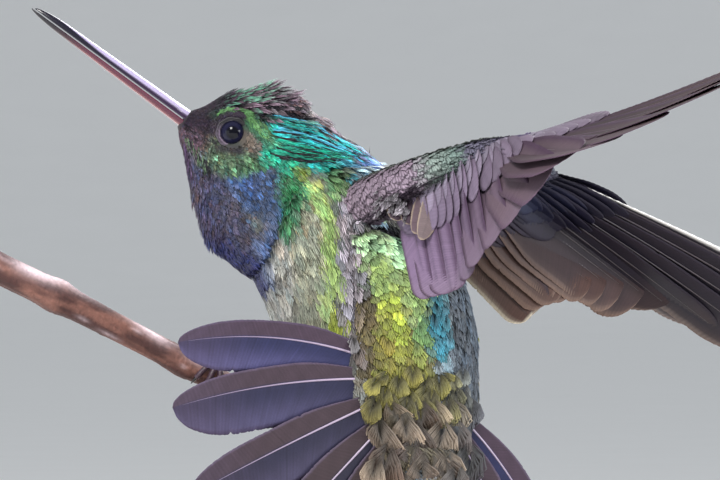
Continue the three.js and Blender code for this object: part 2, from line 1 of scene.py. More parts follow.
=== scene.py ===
"""A life-size hummingbird that grips a twig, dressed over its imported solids: skin, body feathers, wings,
tail, eyes, bill, feet, perch and stand, with a plain studio round it.

Lengths are millimetres from the middle of the breast, +Z up. The head is in profile towards -X and the
bird's left side, which the camera sees, is towards -Y. placed() turns them into the frame's metres.
A place on the body is a share of the way from the bill's base to the vent and a turn about the section:
0 along the crown and nape, -PI/2 towards the camera and PI along the throat.
"""
import math

import bpy
import numpy as np
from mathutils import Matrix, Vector
from mathutils.kdtree import KDTree


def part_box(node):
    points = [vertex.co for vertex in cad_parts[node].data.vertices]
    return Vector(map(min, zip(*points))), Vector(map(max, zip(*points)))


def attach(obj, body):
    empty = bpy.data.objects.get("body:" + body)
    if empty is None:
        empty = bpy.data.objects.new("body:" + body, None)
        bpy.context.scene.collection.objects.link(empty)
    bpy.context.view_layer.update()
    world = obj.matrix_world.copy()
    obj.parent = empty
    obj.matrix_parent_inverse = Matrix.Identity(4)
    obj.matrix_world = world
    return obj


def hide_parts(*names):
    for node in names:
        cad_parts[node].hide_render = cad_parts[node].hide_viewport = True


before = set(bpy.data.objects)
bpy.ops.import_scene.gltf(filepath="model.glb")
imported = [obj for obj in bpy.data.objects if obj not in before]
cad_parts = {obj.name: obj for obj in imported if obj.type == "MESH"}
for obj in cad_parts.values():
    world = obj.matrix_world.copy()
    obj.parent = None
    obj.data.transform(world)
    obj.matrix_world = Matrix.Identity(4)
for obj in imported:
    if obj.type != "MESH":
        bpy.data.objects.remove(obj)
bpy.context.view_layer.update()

MM = 0.001

# ---- the part's own sizes, as in its solids ----

BASE_CENTRE = (0, 4)
BASE_TOP = -36.6

# centre of each section, lean of its long axis from upright, half height in profile, half width across
SECTIONS = [
    (-19.2, 0, 19.1, 35.5, 1.0, 1.0),
    (-18.4, 0, 18.7, 35.5, 2.0, 1.9),
    (-16.7, 0, 18.5, 35.5, 4.1, 3.3),
    (-14.2, 0, 16.9, 35.5, 7.1, 5.0),
    (-11.6, 0, 13.7, 35.5, 8.8, 6.2),
    (-8.7, 0, 10.9, 36, 8.8, 7.2),
    (-6.7, 0, 9.5, 46, 8.8, 7.9),
    (-5.1, 0, 7.2, 60, 8.7, 8.6),
    (-1.4, 0, 2.3, 72.5, 10.2, 9.3),
    (-0.2, 0, -3, 78.5, 10.9, 9.3),
    (1.7, -0.6, -8.9, 78.5, 9.4, 8.4),
    (3.9, -2, -13.9, 72, 7, 6.2),
    (5.3, -4, -18, 68, 4.2, 3.6),
    (6.1, -5, -20.2, 66, 1.6, 1.4),
]

BILL = {"base": (-18.9, 0, 18.9), "length": 18.8, "rise": math.radians(36.4)}
EYE = {"x": -14.2, "depth": 3.75, "z": 17.7, "radius": 1.22}

TAIL = {
    "root": (5, -5.9, -7),
    "facing": (0.35, -0.93, -0.1),
    "spread": (171, 186, 206, 227, 243, 258, 272, 284, 294, 303),
    "bows": (2, 1.2, 0.3, 0, 0, 0, 0, 0.3, 1.2, 2),
    "length": 27.4,
    "outer_length": 26.4,
    "width": 6.3,
}

LEFT_WING = {
    "name": "left",
    "bone": [(-3, -3.4, 9.6), (1.4, -8.2, 12.4), (10.5, -11.5, 15.9), (15.8, -14.4, 16.8)],
    "tips": [(0, 5.3, -11, 1.2), (3, 8.6, -15, 2.4), (5, 10.5, -20, 5.4), (7, 14.5, -27.5, 10.6),
             (9, 19.7, -34.5, 15.7), (10, 23.3, -37.8, 16.8), (12, 33.6, -39.9, 21.9), (15, 51, -34.5, 31.9)],
    "hand": 1,
    "droop": 0.035,
    "seed": 0,
}
RIGHT_WING = {
    "name": "right",
    "bone": [(-1, 1.5, 7), (4.6, 0.8, 9.2), (10.2, 1.8, 11.6), (17.6, 3, 13.6)],
    "tips": [(0, 15.6, 4, -0.8), (3, 17.9, 5, 1.3), (5, 20.2, 7, 2.3), (6, 21.8, 8.5, 2.6),
             (8, 25.1, 11.5, 2.2), (10, 29.6, 14.5, 0.4), (12, 40.2, 16.5, -4.1), (15, 55.3, 15.5, -6.3)],
    "hand": -1,
    "droop": 0.0,
    "seed": 10,
}
SECONDARIES = 6
FLIGHT_FEATHERS = 16
FLIGHT_WIDTHS = ([0, 2, 5, 8, 11, 14, 15], [3.2, 4.6, 5.2, 6.2, 7.2, 7.4, 5.6])
PRIMARY_BOW = 0.05

TWIG = {
    "line": [(-41.5, 2.9, 6.1), (-29, 6.2, -0.2), (-18, 9, -6), (-8, 11.3, -11.2), (6, 14.5, -18.2)],
    "thick_end": 1.6,
    "thin_end": 0.95,
    "knots": (0.2, 0.47, 0.71),
    "knot_rise": 0.25,
    "knot_length": 0.025,
}
FEET = {"left": 0.52, "right": 0.67}  # where they grip, as shares of the twig's length
HIPS = {"left": (-8, 4, -4.5), "right": (-5, 6, -6)}
TOE_RADIUS = 0.36
GAP = 0.3  # between toes and bark

# ---- colours ----


def rgb(*hundredths):
    """A screen colour as the linear one that the shaders take."""
    screen = np.array(hundredths) / 100
    return np.array([c / 12.92 if c <= 0.04045 else ((c + 0.055) / 1.055) ** 2.4 for c in screen])


CROWN = rgb(17, 12, 18)
CREST_BROWN = rgb(38, 31, 36)
CREST_TIP = rgb(42, 76, 62)
BLACKISH = rgb(6, 4, 9)
LORES = rgb(17, 12, 20)
EYE_SKIN = rgb(38, 33, 40)
BROW = rgb(30, 47, 28)
CHEEK = rgb(33, 42, 32)
PINKISH = rgb(47, 42, 38)
EMERALD = rgb(8, 64, 53)
TEAL = rgb(10, 58, 54)
TURQUOISE = rgb(16, 70, 70)
CYAN = rgb(30, 68, 80)
LILAC_BLUE = rgb(44, 52, 76)
FOREST = rgb(16, 44, 28)
BRONZE = rgb(42, 50, 16)
THROAT = rgb(27, 25, 36)
VIOLET = rgb(23, 31, 46)
SLATE = rgb(36, 38, 43)
SILVER = rgb(32, 38, 52)
NAPE = rgb(42, 37, 42)
BUFF = rgb(64, 64, 62)
DRAB = rgb(56, 57, 50)
LILAC = rgb(62, 59, 63)
LIME = rgb(58, 68, 40)
YELLOW = rgb(55, 60, 20)
GREEN = rgb(44, 74, 54)
GOLD = rgb(47, 46, 18)
AZURE = rgb(17, 45, 52)
GREY = rgb(31, 35, 40)
OLIVE = rgb(32, 28, 17)
SAND = rgb(48, 44, 36)
ICE = rgb(74, 85, 93)
DOWN = rgb(86, 84, 83)

# ---- curves, vectors and noise ----


def catmull(points, t):
    """A centripetal Catmull-Rom curve through points, read at shares t of the way along it."""
    points = np.asarray(points, float)
    t = np.atleast_1d(np.asarray(t, float))
    count = len(points)
    reach = np.clip(t, 0, 1) * (count - 1)
    k = np.minimum(reach.astype(int), count - 2)
    w = (reach - k)[:, None]
    more = np.vstack([2 * points[0] - points[1], points, 2 * points[-1] - points[-2]])
    a, b, c, d = more[k], more[k + 1], more[k + 2], more[k + 3]
    s0, s1, s2 = ((np.sum((q - p) ** 2, -1) ** 0.25)[:, None] for p, q in ((a, b), (b, c), (c, d)))
    leave = ((b - a) / s0 - (c - a) / (s0 + s1) + (c - b) / s1) * s1
    arrive = ((c - b) / s1 - (d - b) / (s1 + s2) + (d - c) / s2) * s1
    cubic = 2 * b - 2 * c + leave + arrive
    square = -3 * b + 3 * c - 2 * leave - arrive
    return b + leave * w + square * w**2 + cubic * w**3


def unit(v):
    """v, or each of them, at length 1."""
    return v / np.maximum(np.linalg.norm(v, axis=-1, keepdims=True), 1e-9)


def across(v, normal):
    """The share of v that lies square to normal, as a unit vector."""
    return unit(v - np.sum(v * normal, -1, keepdims=True) * normal)


def strayed(way, out, amount, rng):
    """Ways square to out that each stray a little from the one given."""
    return across(way + rng.normal(0, amount, way.shape), out)


def smooth(low, high, x):
    """0 up to low, 1 from high on, and a soft step between them."""
    x = np.clip((x - low) / (high - low), 0, 1)
    return x * x * (3 - 2 * x)


def mix(a, b, share):
    return a + (b - a) * share


def bell(x, middle, reach):
    return np.exp(-(((x - middle) / reach) ** 2))


def full_turn(count):
    """Evenly spaced turns round a section."""
    return 2 * np.pi * np.arange(count) / count


def wrapped(turn):
    """The same turn between -pi and pi."""
    return (turn + np.pi) % (2 * np.pi) - np.pi


def wave_noise(points, scale, seed):
    """Smooth noise of about -1 to 1 from a few crossed waves, for slow changes over the body."""
    rng = np.random.default_rng(seed)
    total = 0
    for _ in range(5):
        total = total + np.sin(points @ rng.normal(0, 1 / scale, 3) * 2.2 + rng.uniform(0, 6.3))
    return total / 2.6


# ---- placing and joining meshes ----

BASE_LOW, BASE_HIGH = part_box("stand_base")
OFFSET = np.array([
    (BASE_LOW.x + BASE_HIGH.x) / 2 / MM - BASE_CENTRE[0],
    (BASE_LOW.y + BASE_HIGH.y) / 2 / MM - BASE_CENTRE[1],
    BASE_HIGH.z / MM - BASE_TOP,
])


def placed(points):
    """Working millimetres as the frame's metres."""
    return (np.asarray(points, float) + OFFSET) * MM


def shown(name, data):
    """A new object in the scene."""
    thing = bpy.data.objects.new(name, data)
    bpy.context.scene.collection.objects.link(thing)
    return thing


PAINT = "plumage"  # the meshes' own colours
CELL_SHARE = 0.92  # how much of its cell on the map a vane fills


class Pile:
    """Points, faces, colours and map places gathered for one joined mesh. Its map has cells x cells."""

    def __init__(self, cells=1):
        self.points, self.colours, self.uvs, self.faces, self.count = [], [], [], [], 0
        self.cells = cells

    def cell(self, x, y):
        """Map places within the cell of the vane that is added next."""
        row, column = divmod(len(self.points), self.cells)
        inset = (1 - CELL_SHARE) / 2
        return np.stack([column + inset + CELL_SHARE * x, row + inset + CELL_SHARE * y], -1) / self.cells

    def add(self, points, faces, colours, uvs=None):
        points = np.asarray(points, float).reshape(-1, 3)
        self.points.append(points)
        self.colours.append(np.broadcast_to(np.asarray(colours, float).reshape(-1, 3), points.shape))
        self.uvs.append(np.zeros((len(points), 2)) if uvs is None else np.asarray(uvs).reshape(-1, 2))
        self.faces += [np.asarray(f) + self.count for f in faces]
        self.count += len(points)

    def build(self, name, slot, material, replaces=(), with_map=False):
        points = np.vstack(self.points)
        loops = np.concatenate([f.ravel() for f in self.faces]).astype(np.int32)
        sizes = np.concatenate([np.full(len(f), f.shape[1]) for f in self.faces])
        mesh = bpy.data.meshes.new(name)
        mesh.vertices.add(len(points))
        mesh.vertices.foreach_set("co", placed(points).astype(np.float32).ravel())
        mesh.loops.add(len(loops))
        mesh.loops.foreach_set("vertex_index", loops)
        mesh.polygons.add(len(sizes))
        starts = np.concatenate([[0], np.cumsum(sizes)[:-1]]).astype(np.int32)
        mesh.polygons.foreach_set("loop_start", starts)
        mesh.update(calc_edges=True)
        mesh.shade_smooth()
        shade = np.ones((len(points), 4), np.float32)
        shade[:, :3] = np.clip(np.vstack(self.colours), 0, 1)
        mesh.color_attributes.new(PAINT, "FLOAT_COLOR", "POINT").data.foreach_set("color", shade.ravel())
        if with_map:
            uv = mesh.uv_layers.new(name="OFBake")
            uv.data.foreach_set("uv", np.vstack(self.uvs)[loops].astype(np.float32).ravel())
        mesh.materials.append(material)
        piece = shown(name, mesh)
        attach(piece, "root")
        if replaces:
            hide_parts(*replaces)


def grid_solid(rows, columns):
    """The faces of a closed tube whose points are rows of rings: its wall and one face over each end."""
    i, j = np.meshgrid(np.arange(rows - 1), np.arange(columns), indexing="ij")
    a, b = i * columns + j, i * columns + (j + 1) % columns
    wall = np.stack([a, b, b + columns, a + columns], -1).reshape(-1, 4)
    ring = np.arange(columns)[None]
    return [wall, ring[:, ::-1], (rows - 1) * columns + ring]


def tube(pile, line, radii, sides, colours, reference=(0, 1, 0), bumps=None):
    """A closed tube along a line of points. colours holds one, one for each ring or one for each point."""
    line = np.asarray(line, float)
    along = unit(np.gradient(line, axis=0))
    first = unit(np.cross(np.broadcast_to(reference, line.shape), along))
    second = np.cross(along, first)
    turn = full_turn(sides)
    size = np.broadcast_to(np.asarray(radii, float), len(line))[:, None, None]
    if bumps is not None:
        size = size * (1 + bumps[..., None])
    ring = first[:, None] * np.cos(turn)[None, :, None] + second[:, None] * np.sin(turn)[None, :, None]
    colours = np.asarray(colours, float)
    if colours.ndim == 2:
        colours = np.repeat(colours[:, None], sides, 1)
    pile.add(line[:, None] + ring * size, grid_solid(len(line), sides), colours)


# ---- materials ----


def wire(tree, node, **inputs):
    """Sets a node's sockets: a value goes straight onto its socket, another node's output is linked."""
    for name, value in inputs.items():
        socket = node.inputs[name.replace("_", " ")]
        if isinstance(value, bpy.types.NodeSocket):
            tree.links.new(value, socket)
        else:
            socket.default_value = value
    return node


def add_node(tree, kind, **inputs):
    return wire(tree, tree.nodes.new("ShaderNode" + kind), **inputs)


def node_material(name, **sockets):
    material = bpy.data.materials.new(name)
    material.use_nodes = True
    tree = material.node_tree
    return material, tree, wire(tree, tree.nodes["Principled BSDF"], **sockets)


def object_place(tree, stretch):
    """The object's own coordinates, as they are or stretched."""
    place = add_node(tree, "TexCoord").outputs["Object"]
    if stretch is None:
        return place
    return add_node(tree, "Mapping", Vector=place, Scale=stretch).outputs["Vector"]


def noise_node(tree, scale, detail=3.0, stretch=None):
    return add_node(tree, "TexNoise", Vector=object_place(tree, stretch), Scale=scale, Detail=detail)


def bump_from(tree, shader, noise, distance, strength=1.0):
    bump = add_node(tree, "Bump", Distance=distance, Strength=strength, Height=noise.outputs["Fac"])
    wire(tree, shader, Normal=bump.outputs["Normal"])


def ramp_onto(tree, shader, texture, low, high):
    """Lays two colours over a shader by a texture."""
    blend = add_node(tree, "ValToRGB", Fac=texture.outputs["Fac"])
    for element, colour in zip(blend.color_ramp.elements, (low, high)):
        element.color = (*colour, 1)
    wire(tree, shader, Base_Color=blend.outputs["Color"])


def painted_material(name, grain, depth, contrast, **sockets):
    """Takes the mesh's own colours, broken up by a fine grain that also lifts the surface."""
    material, tree, shader = node_material(name, **sockets)
    colour = add_node(tree, "VertexColor")
    colour.layer_name = PAINT
    noise = noise_node(tree, grain)
    shade = add_node(tree, "MapRange", Value=noise.outputs["Fac"], To_Min=1 - contrast, To_Max=1 + contrast)
    vary = add_node(tree, "VectorMath")
    vary.operation = "SCALE"
    wire(tree, vary, Vector=colour.outputs["Color"], Scale=shade.outputs["Result"])
    wire(tree, shader, Base_Color=vary.outputs["Vector"])
    bump_from(tree, shader, noise, depth)
    return material


GLOSSY_COAT = painted_material("glossy_feathers", 9000, 0.00002, 0.25, Roughness=0.42, Metallic=0.25)
SOFT_COAT = painted_material("soft_feathers", 9000, 0.00002, 0.25, Roughness=0.6)
VANE = painted_material("feather_vanes", 6000, 0.00001, 0.16, Roughness=0.6, Specular_IOR_Level=0.22)
SHAFT = painted_material("feather_shafts", 5000, 0.00001, 0.1, Roughness=0.35)
HORN = painted_material("horn", 2500, 0.00001, 0.12, Roughness=0.25, Specular_IOR_Level=0.3, Coat_Weight=0.2,
                        Coat_Roughness=0.12)
SKIN = painted_material("bare_skin", 7000, 0.00004, 0.3, Roughness=0.5)
BARK = painted_material("bark", 2600, 0.00012, 0.45, Roughness=0.8)
EYEBALL = painted_material("eyeball", 1500, 0.000001, 0.1, Roughness=0.03, IOR=1.4, Specular_IOR_Level=0.25)

# ---- the body's surface ----

SHARES = np.linspace(0, 1, 1001)
CENTRE = catmull([s[:3] for s in SECTIONS], SHARES)
LEAN, HIGH, WIDE = (catmull([(i, s[k]) for i, s in enumerate(SECTIONS)], SHARES)[:, 1] for k in (3, 4, 5))
TRAVEL = np.linalg.norm(np.gradient(CENTRE, SHARES, axis=0), axis=1)
FACING = unit(np.array(TAIL["facing"], float))  # the way out of the tail fan's seen face
TAIL_ROOT = np.array(TAIL["root"], float)
BACK_TURN = -0.6  # where the spine runs on the torso; the neck twists to bring the head into profile
TWIST = (0.42, 0.62)  # the shares between which it does
MIRRORED_FROM = 0.15  # the turn, just past the crown, from which the far side mirrors the near one


def read(column, t):
    """One of the body's columns at a share; a column of points gives points."""
    if column.ndim > 1:
        return np.stack([np.interp(t, SHARES, part) for part in column.T], -1)
    return np.interp(t, SHARES, column)


def spine(t):
    """The turn of the back's middle."""
    return BACK_TURN * smooth(*TWIST, t)


def on_ellipse(t, turn, grow=0.0):
    """A point of the body's outline, with grow added to both half axes."""
    lean = np.radians(read(LEAN, t))
    first = np.stack([np.sin(lean), 0 * lean, np.cos(lean)], -1)
    tall = (read(HIGH, t) + grow) * np.cos(turn)
    broad = (read(WIDE, t) + grow) * np.sin(turn)
    return read(CENTRE, t) + first * tall[..., None] + np.array([0, 1.0, 0]) * broad[..., None]


def near_turn(t, turn):
    """The turn, on the side that the camera sees, of the place that mirrors this one."""
    turn = wrapped(turn)
    seen = (turn <= MIRRORED_FROM) | (turn > np.pi + 2 * spine(t))
    return np.where(seen, turn, wrapped(2 * spine(t) - turn))


def profile(t, turn):
    """Where a place, or its mirror image on the near side, shows in profile: X and Z."""
    p = on_ellipse(t, near_turn(t, turn))
    return p[..., 0], p[..., 2]


def nearness(t, turn, table):
    """How near each place lies in profile to the stroke at the head of each row of a table, from 0 to 1. A
    stroke runs from one point to another and fades over its reach."""
    x, z = profile(t, turn)
    weights = []
    for (x1, z1, x2, z2, reach), *_ in table:
        run = max((x2 - x1) ** 2 + (z2 - z1) ** 2, 1e-9)
        s = np.clip(((x - x1) * (x2 - x1) + (z - z1) * (z2 - z1)) / run, 0, 1)
        away = (x - x1 - s * (x2 - x1)) ** 2 + (z - z1 - s * (z2 - z1)) ** 2
        weights.append(np.exp(-away / reach**2))
    return np.array(weights)


# Hollows and swellings of the body: a stroke in profile and how far it lifts the surface.
RELIEF = [
    ((-14.2, 17.7, -14.2, 17.7, 1.6), -0.95),  # the eye's socket
    ((-15.2, 19.5, -12.2, 19.4, 0.5), 0.22),  # brow
    ((-12.2, 19.2, -10.4, 17.0, 0.5), 0.2),
    ((-16.0, 15.2, -13.0, 15.0, 1.3), 0.25),  # cheek
    ((-18.8, 17.6, -15.9, 16.2, 0.4), -0.15),  # the gape's fold
    ((-13.6, 20.4, -7.2, 19.6, 0.4), -0.45),  # below the crest
    ((-13.0, 22.4, -8.6, 22.2, 1.0), -0.4),  # the crest's bed
    ((-6.4, 20.6, -5.6, 20.2, 0.5), -0.3),  # notch behind the crest
    ((-5.0, 14.2, -3.0, 15.0, 0.35), -0.5),  # where the neck's feathers end
    ((-3.0, 15.0, 1.3, 15.2, 0.35), -0.6),
    ((-8.3, 11.4, -11.2, 5.2, 0.6), -0.3),  # edge of the gorget
    ((-2.4, 9.0, -2.2, -2.0, 0.45), -0.5),  # between flank and back
    ((-1.6, 8.0, 0.5, 8.9, 0.5), -0.8),  # armpit
    ((0.5, 8.9, 3.0, 7.7, 0.5), -0.8),
    ((-6.5, 9.0, -5.5, 1.0, 1.8), 0.2),  # side of the breast
]


def coat_depth(t):
    """How deep the skin lies under the feathers' outline."""
    return np.interp(t, [0, 0.08, 0.2, 0.4, 0.6, 0.9, 1], [0.05, 0.12, 0.25, 0.4, 0.6, 0.8, 0.4])


def on_skin(t, turn):
    """A place on the skin, under the feathers, with its hollows and swellings."""
    p, inner = (on_ellipse(t, turn, -coat_depth(t) - deeper) for deeper in (0, 1))
    lift = np.tensordot(np.array([h for _, h in RELIEF]), nearness(t, turn, RELIEF), 1)
    return p + (p - inner) * lift[..., None]


SLOPE_STEPS = (0.004, 0.02)  # of share and turn, over which the skin's slope is taken


def skin_frame(t, turn):
    """A place on the skin, the way back along the body, and the way out."""
    dt, dturn = SLOPE_STEPS
    p = on_skin(t, turn)
    back = on_skin(np.minimum(t + dt, 1), turn) - on_skin(np.maximum(t - dt, 0), turn)
    side = on_skin(t, turn + dturn) - on_skin(t, turn - dturn)
    out = unit(np.cross(side, back))
    out = np.where(np.sum(out * (p - read(CENTRE, t)), -1, keepdims=True) < 0, -out, out)
    return p, across(back, out), out


# ---- markings of the plumage: strokes in profile, each with its colour and how much it counts ----

MARKS = [
    ((-18.2, 20.2, -12.5, 22.2, 1.2), CROWN, 1.6),
    ((-12.5, 22.4, -7.4, 21.4, 1.3), CREST_BROWN, 1.4),
    ((-18.6, 18.9, -16.0, 18.6, 0.8), LORES, 1.6),
    ((-16.4, 19.4, -14.8, 20.2, 0.5), rgb(16, 24, 18), 1.2),
    ((-15.4, 19.2, -12.8, 19.6, 0.5), LORES, 2.4),
    ((-13.6, 20.5, -11.0, 19.6, 0.5), BLACKISH, 3.4),
    ((-11.2, 20.1, -7.0, 19.9, 0.4), BLACKISH, 3.0),
    ((-12.6, 19.0, -10.8, 17.2, 0.5), rgb(22, 42, 30), 2.2),
    ((-12.8, 17.4, -12.4, 16.2, 0.5), PINKISH, 2.0),
    ((-16.0, 16.2, -13.6, 15.9, 0.4), LORES, 1.6),
    ((-19.0, 17.4, -17.4, 16.0, 0.9), rgb(34, 26, 32), 1.5),
    ((-19.2, 16.6, -19.0, 13.6, 0.5), CROWN, 1.4),
    ((-17.0, 15.6, -13.6, 14.8, 1.1), CHEEK, 1.5),
    ((-14.0, 14.2, -12.0, 15.2, 0.7), rgb(34, 50, 34), 1.5),
    ((-11.6, 15.4, -10.4, 16.8, 0.6), EMERALD, 1.6),
    ((-10.4, 17.8, -9.0, 14.6, 0.9), EMERALD, 1.7),
    ((-10.6, 19.2, -6.6, 18.6, 0.6), TEAL, 1.9),
    ((-9.6, 18.0, -5.4, 16.8, 0.9), TURQUOISE, 2.1),
    ((-5.6, 16.6, -2.6, 15.9, 0.7), CYAN, 2.1),
    ((-2.8, 15.9, 1.6, 15.6, 0.6), LILAC_BLUE, 2.3),
    ((-6.4, 19.6, -2.6, 17.0, 0.7), NAPE, 1.9),
    ((-8.4, 14.4, -7.6, 14.2, 0.35), BRONZE, 2.4),
    ((-7.0, 15.2, -4.4, 14.8, 0.5), TEAL, 1.7),
    ((-9.4, 13.2, -8.0, 12.4, 0.8), FOREST, 2.0),
    ((-8.6, 12.2, -9.4, 8.8, 0.9), FOREST, 1.6),
    ((-10.4, 9.8, -11.0, 7.0, 0.8), SILVER, 1.4),
    ((-14.0, 12.9, -10.4, 13.3, 0.9), VIOLET, 1.7),
    ((-12.8, 11.6, -10.4, 10.4, 1.0), VIOLET, 1.3),
    ((-18.2, 14.0, -16.8, 8.0, 1.6), THROAT, 1.3),
    ((-16.0, 12.0, -14.0, 7.0, 1.2), rgb(25, 25, 36), 1.2),
    ((-16.8, 7.6, -13.0, 4.0, 1.6), rgb(14, 16, 36), 1.4),
    ((-12.4, 7.0, -11.2, 4.0, 0.7), SILVER, 1.2),
    ((-3.4, 12.6, -2.9, 5.6, 0.5), LILAC, 1.6),
    ((-1.0, 14.2, -0.5, 11.6, 0.9), ICE, 4.0),
    ((0.1, 12.2, 0.4, 11.0, 0.4), LIME, 2.2),
    ((-10.6, 17.4, -9.8, 16.6, 0.6), rgb(42, 64, 50), 1.8),
    ((-4.6, 14.0, -3.4, 12.4, 0.7), rgb(40, 56, 36), 1.4),
    ((-6.8, 12.6, -5.4, 11.0, 0.7), LIME, 1.3),
    ((-7.4, 10.4, -6.0, 9.6, 0.6), DRAB, 1.2),
    ((-9.8, 6.0, -10.4, -1.0, 1.4), BUFF, 1.2),
    ((-7.4, 8.2, -6.8, -2.0, 1.4), DRAB, 1.3),
    ((-5.2, 9.6, -5.0, 7.0, 0.6), LIME, 1.5),
    ((-5.0, 5.2, -4.8, 3.8, 0.7), LIME, 1.5),
    ((-6.0, 2.8, -5.8, 1.8, 0.6), LIME, 1.3),
    ((-4.6, 0.6, -4.0, -1.0, 0.7), YELLOW, 1.4),
    ((-2.5, 9.4, -2.4, 0.4, 0.55), LILAC, 2.0),
    ((-2.3, -0.6, -2.0, -4.0, 0.5), rgb(42, 38, 38), 1.6),
    # painted shade in the armpit's crease, under the wing's arm
    ((-1.7, 8.1, 0.5, 9.1, 0.4), BLACKISH, 4.0),
    ((0.5, 9.1, 3.0, 7.9, 0.4), BLACKISH, 4.0),
    ((-0.6, 6.6, 0.6, 3.0, 0.9), LIME, 2.0),
    # painted light: paler where the left wing's arm casts its shade on the top of the back
    ((-1.0, 7.2, 2.0, 6.6, 0.9), rgb(72, 86, 66), 2.4),
    ((2.0, 7.2, 3.2, 5.8, 0.6), GREEN, 2.2),
    ((3.0, 5.6, 4.6, 1.6, 1.0), LIME, 1.7),
    ((1.0, 2.4, 2.6, -2.0, 0.9), YELLOW, 1.7),
    ((-1.0, 1.4, -1.0, -4.4, 0.95), OLIVE, 1.9),
    ((0.4, -1.0, 1.4, -6.4, 1.1), GOLD, 1.6),
    ((3.4, -2.2, 4.8, -6.4, 1.2), GOLD, 1.5),
    ((4.6, 0.2, 4.8, -3.2, 0.6), rgb(38, 54, 32), 1.6),
    ((6.0, 2.0, 6.8, -2.8, 0.7), AZURE, 1.7),
    ((8.6, 5.0, 9.6, 0.0, 1.2), GREY, 1.6),
    ((9.8, -1.0, 10.2, -10.0, 1.3), GREY, 1.6),
    ((7.2, -4.6, 8.2, -8.0, 0.6), ICE * 0.4, 1.0),
    ((7.0, -8.0, 7.6, -12.0, 1.2), SLATE, 1.2),
    ((0.6, -5.6, 5.2, -6.6, 1.1), GOLD, 1.5),
    ((0.4, -8.6, 6.0, -9.4, 1.2), OLIVE, 1.5),
    ((0.0, -12.0, 6.0, -13.6, 1.8), SAND, 1.3),
    ((3.0, -17.0, 8.0, -18.0, 2.0), GREY, 1.0),
    ((-11.0, -3.0, -4.0, -12.0, 3.0), BUFF, 1.2),
]
PLAIN = rgb(36, 36, 34)  # where no mark counts
PLAIN_WEIGHT = 0.02


def markings(t, turn):
    """The plumage's colour at a place."""
    weight = (nearness(t, turn, MARKS) * np.array([w for _, _, w in MARKS])[:, None]) ** 2
    colours = np.array([c for _, c, _ in MARKS])
    return (weight.T @ colours + PLAIN_WEIGHT * PLAIN) / (weight.sum(0)[:, None] + PLAIN_WEIGHT)


# Ways that the feathers are combed, where they leave the straight line back along the body.
COMBS = [
    ((-9.5, 17.0, -1.0, 15.8, 1.6), (1.0, -0.12), 1.6),
    ((-15.0, 19.4, -12.6, 19.4, 0.6), (1.0, 0.05), 1.6),
    ((-12.6, 19.3, -10.6, 17.0, 0.6), (0.7, -0.7), 1.6),
    ((-15.8, 17.0, -12.6, 16.4, 0.7), (1.0, -0.35), 1.0),
    ((-9.0, 9.0, -9.0, 0.0, 2.5), (0.1, -1.0), 1.6),
    ((-4.0, 12.0, -3.5, 0.0, 2.0), (0.05, -1.0), 1.6),
]


def combed(t, turn, back, out):
    """The way that the feathers point; only the near side is combed."""
    as_seen = near_turn(t, turn) == wrapped(turn)
    guide = back
    for near, (_, (dx, dz), strength) in zip(nearness(t, turn, COMBS), COMBS):
        way = across(np.broadcast_to((dx, 0.0, dz), back.shape), out)
        guide = guide + way * (as_seen * near * strength)[:, None]
    return across(guide, out)


# The feathers' shape where it isn't the plain one: a stroke in profile, the length and the width against
# the plain feather's length, how steeply they stand off, how unlike in tone they are, and how much this
# counts.
STYLES = [
    ((-9.6, 18.4, -0.6, 15.8, 1.2), 2.3, 0.20, 0.10, 0.55, 3.0),  # side of the neck
    ((-18.8, 16.8, -18.4, 12.4, 0.9), 2.0, 0.36, 0.18, 0.5, 2.0),  # malar stripes
    ((-18.2, 11.0, -17.2, 6.8, 0.9), 1.8, 0.42, 0.34, 0.4, 2.0),  # chin edge
    ((-15.5, 15.2, -12.0, 15.0, 1.2), 1.3, 0.34, 0.12, 0.55, 1.5),  # cheek
    ((-13.5, 12.5, -10.4, 12.0, 1.8), 1.1, 0.50, 0.10, 0.45, 1.5),  # gorget
    ((-16.5, 10.0, -13.5, 6.0, 1.8), 1.3, 0.44, 0.10, 0.4, 1.5),  # throat
    ((-9.6, 8.0, -9.6, -2.0, 2.0), 1.7, 0.30, 0.08, 0.22, 2.0),  # breast
    ((-5.2, 12.0, -4.8, -2.0, 2.2), 1.8, 0.28, 0.08, 0.22, 2.0),  # flank
    ((-1.0, 14.4, -0.4, 10.6, 0.8), 1.8, 0.30, 0.08, 0.2, 2.0),  # shoulder
    ((1.0, 5.6, 3.0, -6.0, 3.2), 1.0, 0.86, 0.14, 0.3, 2.0),  # back
    ((8.8, 5.0, 9.8, -9.0, 1.4), 1.0, 0.60, 0.08, 0.25, 1.5),  # right flank
    ((1.0, -9.0, 5.0, -16.0, 3.0), 1.2, 0.85, 0.12, 0.3, 2.0),  # rump
]
PLAIN_STYLE, PLAIN_STYLE_WEIGHT = (1.0, 0.6, 0.12, 0.3), 0.35


def style(t, turn):
    """Length, width, lift and unlikeness of the feathers at each place."""
    near = nearness(t, turn, STYLES) * np.array([s[5] for s in STYLES])[:, None]
    shapes = np.array([s[1:5] for s in STYLES])
    plain = PLAIN_STYLE_WEIGHT * np.array(PLAIN_STYLE)
    return ((near.T @ shapes + plain) / (near.sum(0)[:, None] + PLAIN_STYLE_WEIGHT)).T


# ---- body feathers ----

ROW_GAP = 0.34  # between two rows of feathers, against their length
MAP_SHARE = 0.99  # how much of the map the skin's or a limb's unwrap fills
PATCH = 0.003  # how wide a feather's place is on the map
SPOT_OF_POINT = [0, 1, 1, 1, 2, 2, 2, 3]  # a barb's eight points lie at four spots along it
BARB_FACES = (
    [(0, 2, 1), (0, 3, 2), (0, 1, 3), (7, 4, 5), (7, 5, 6), (7, 6, 4)],
    [(1, 2, 5, 4), (2, 3, 6, 5), (3, 1, 4, 6)],
)


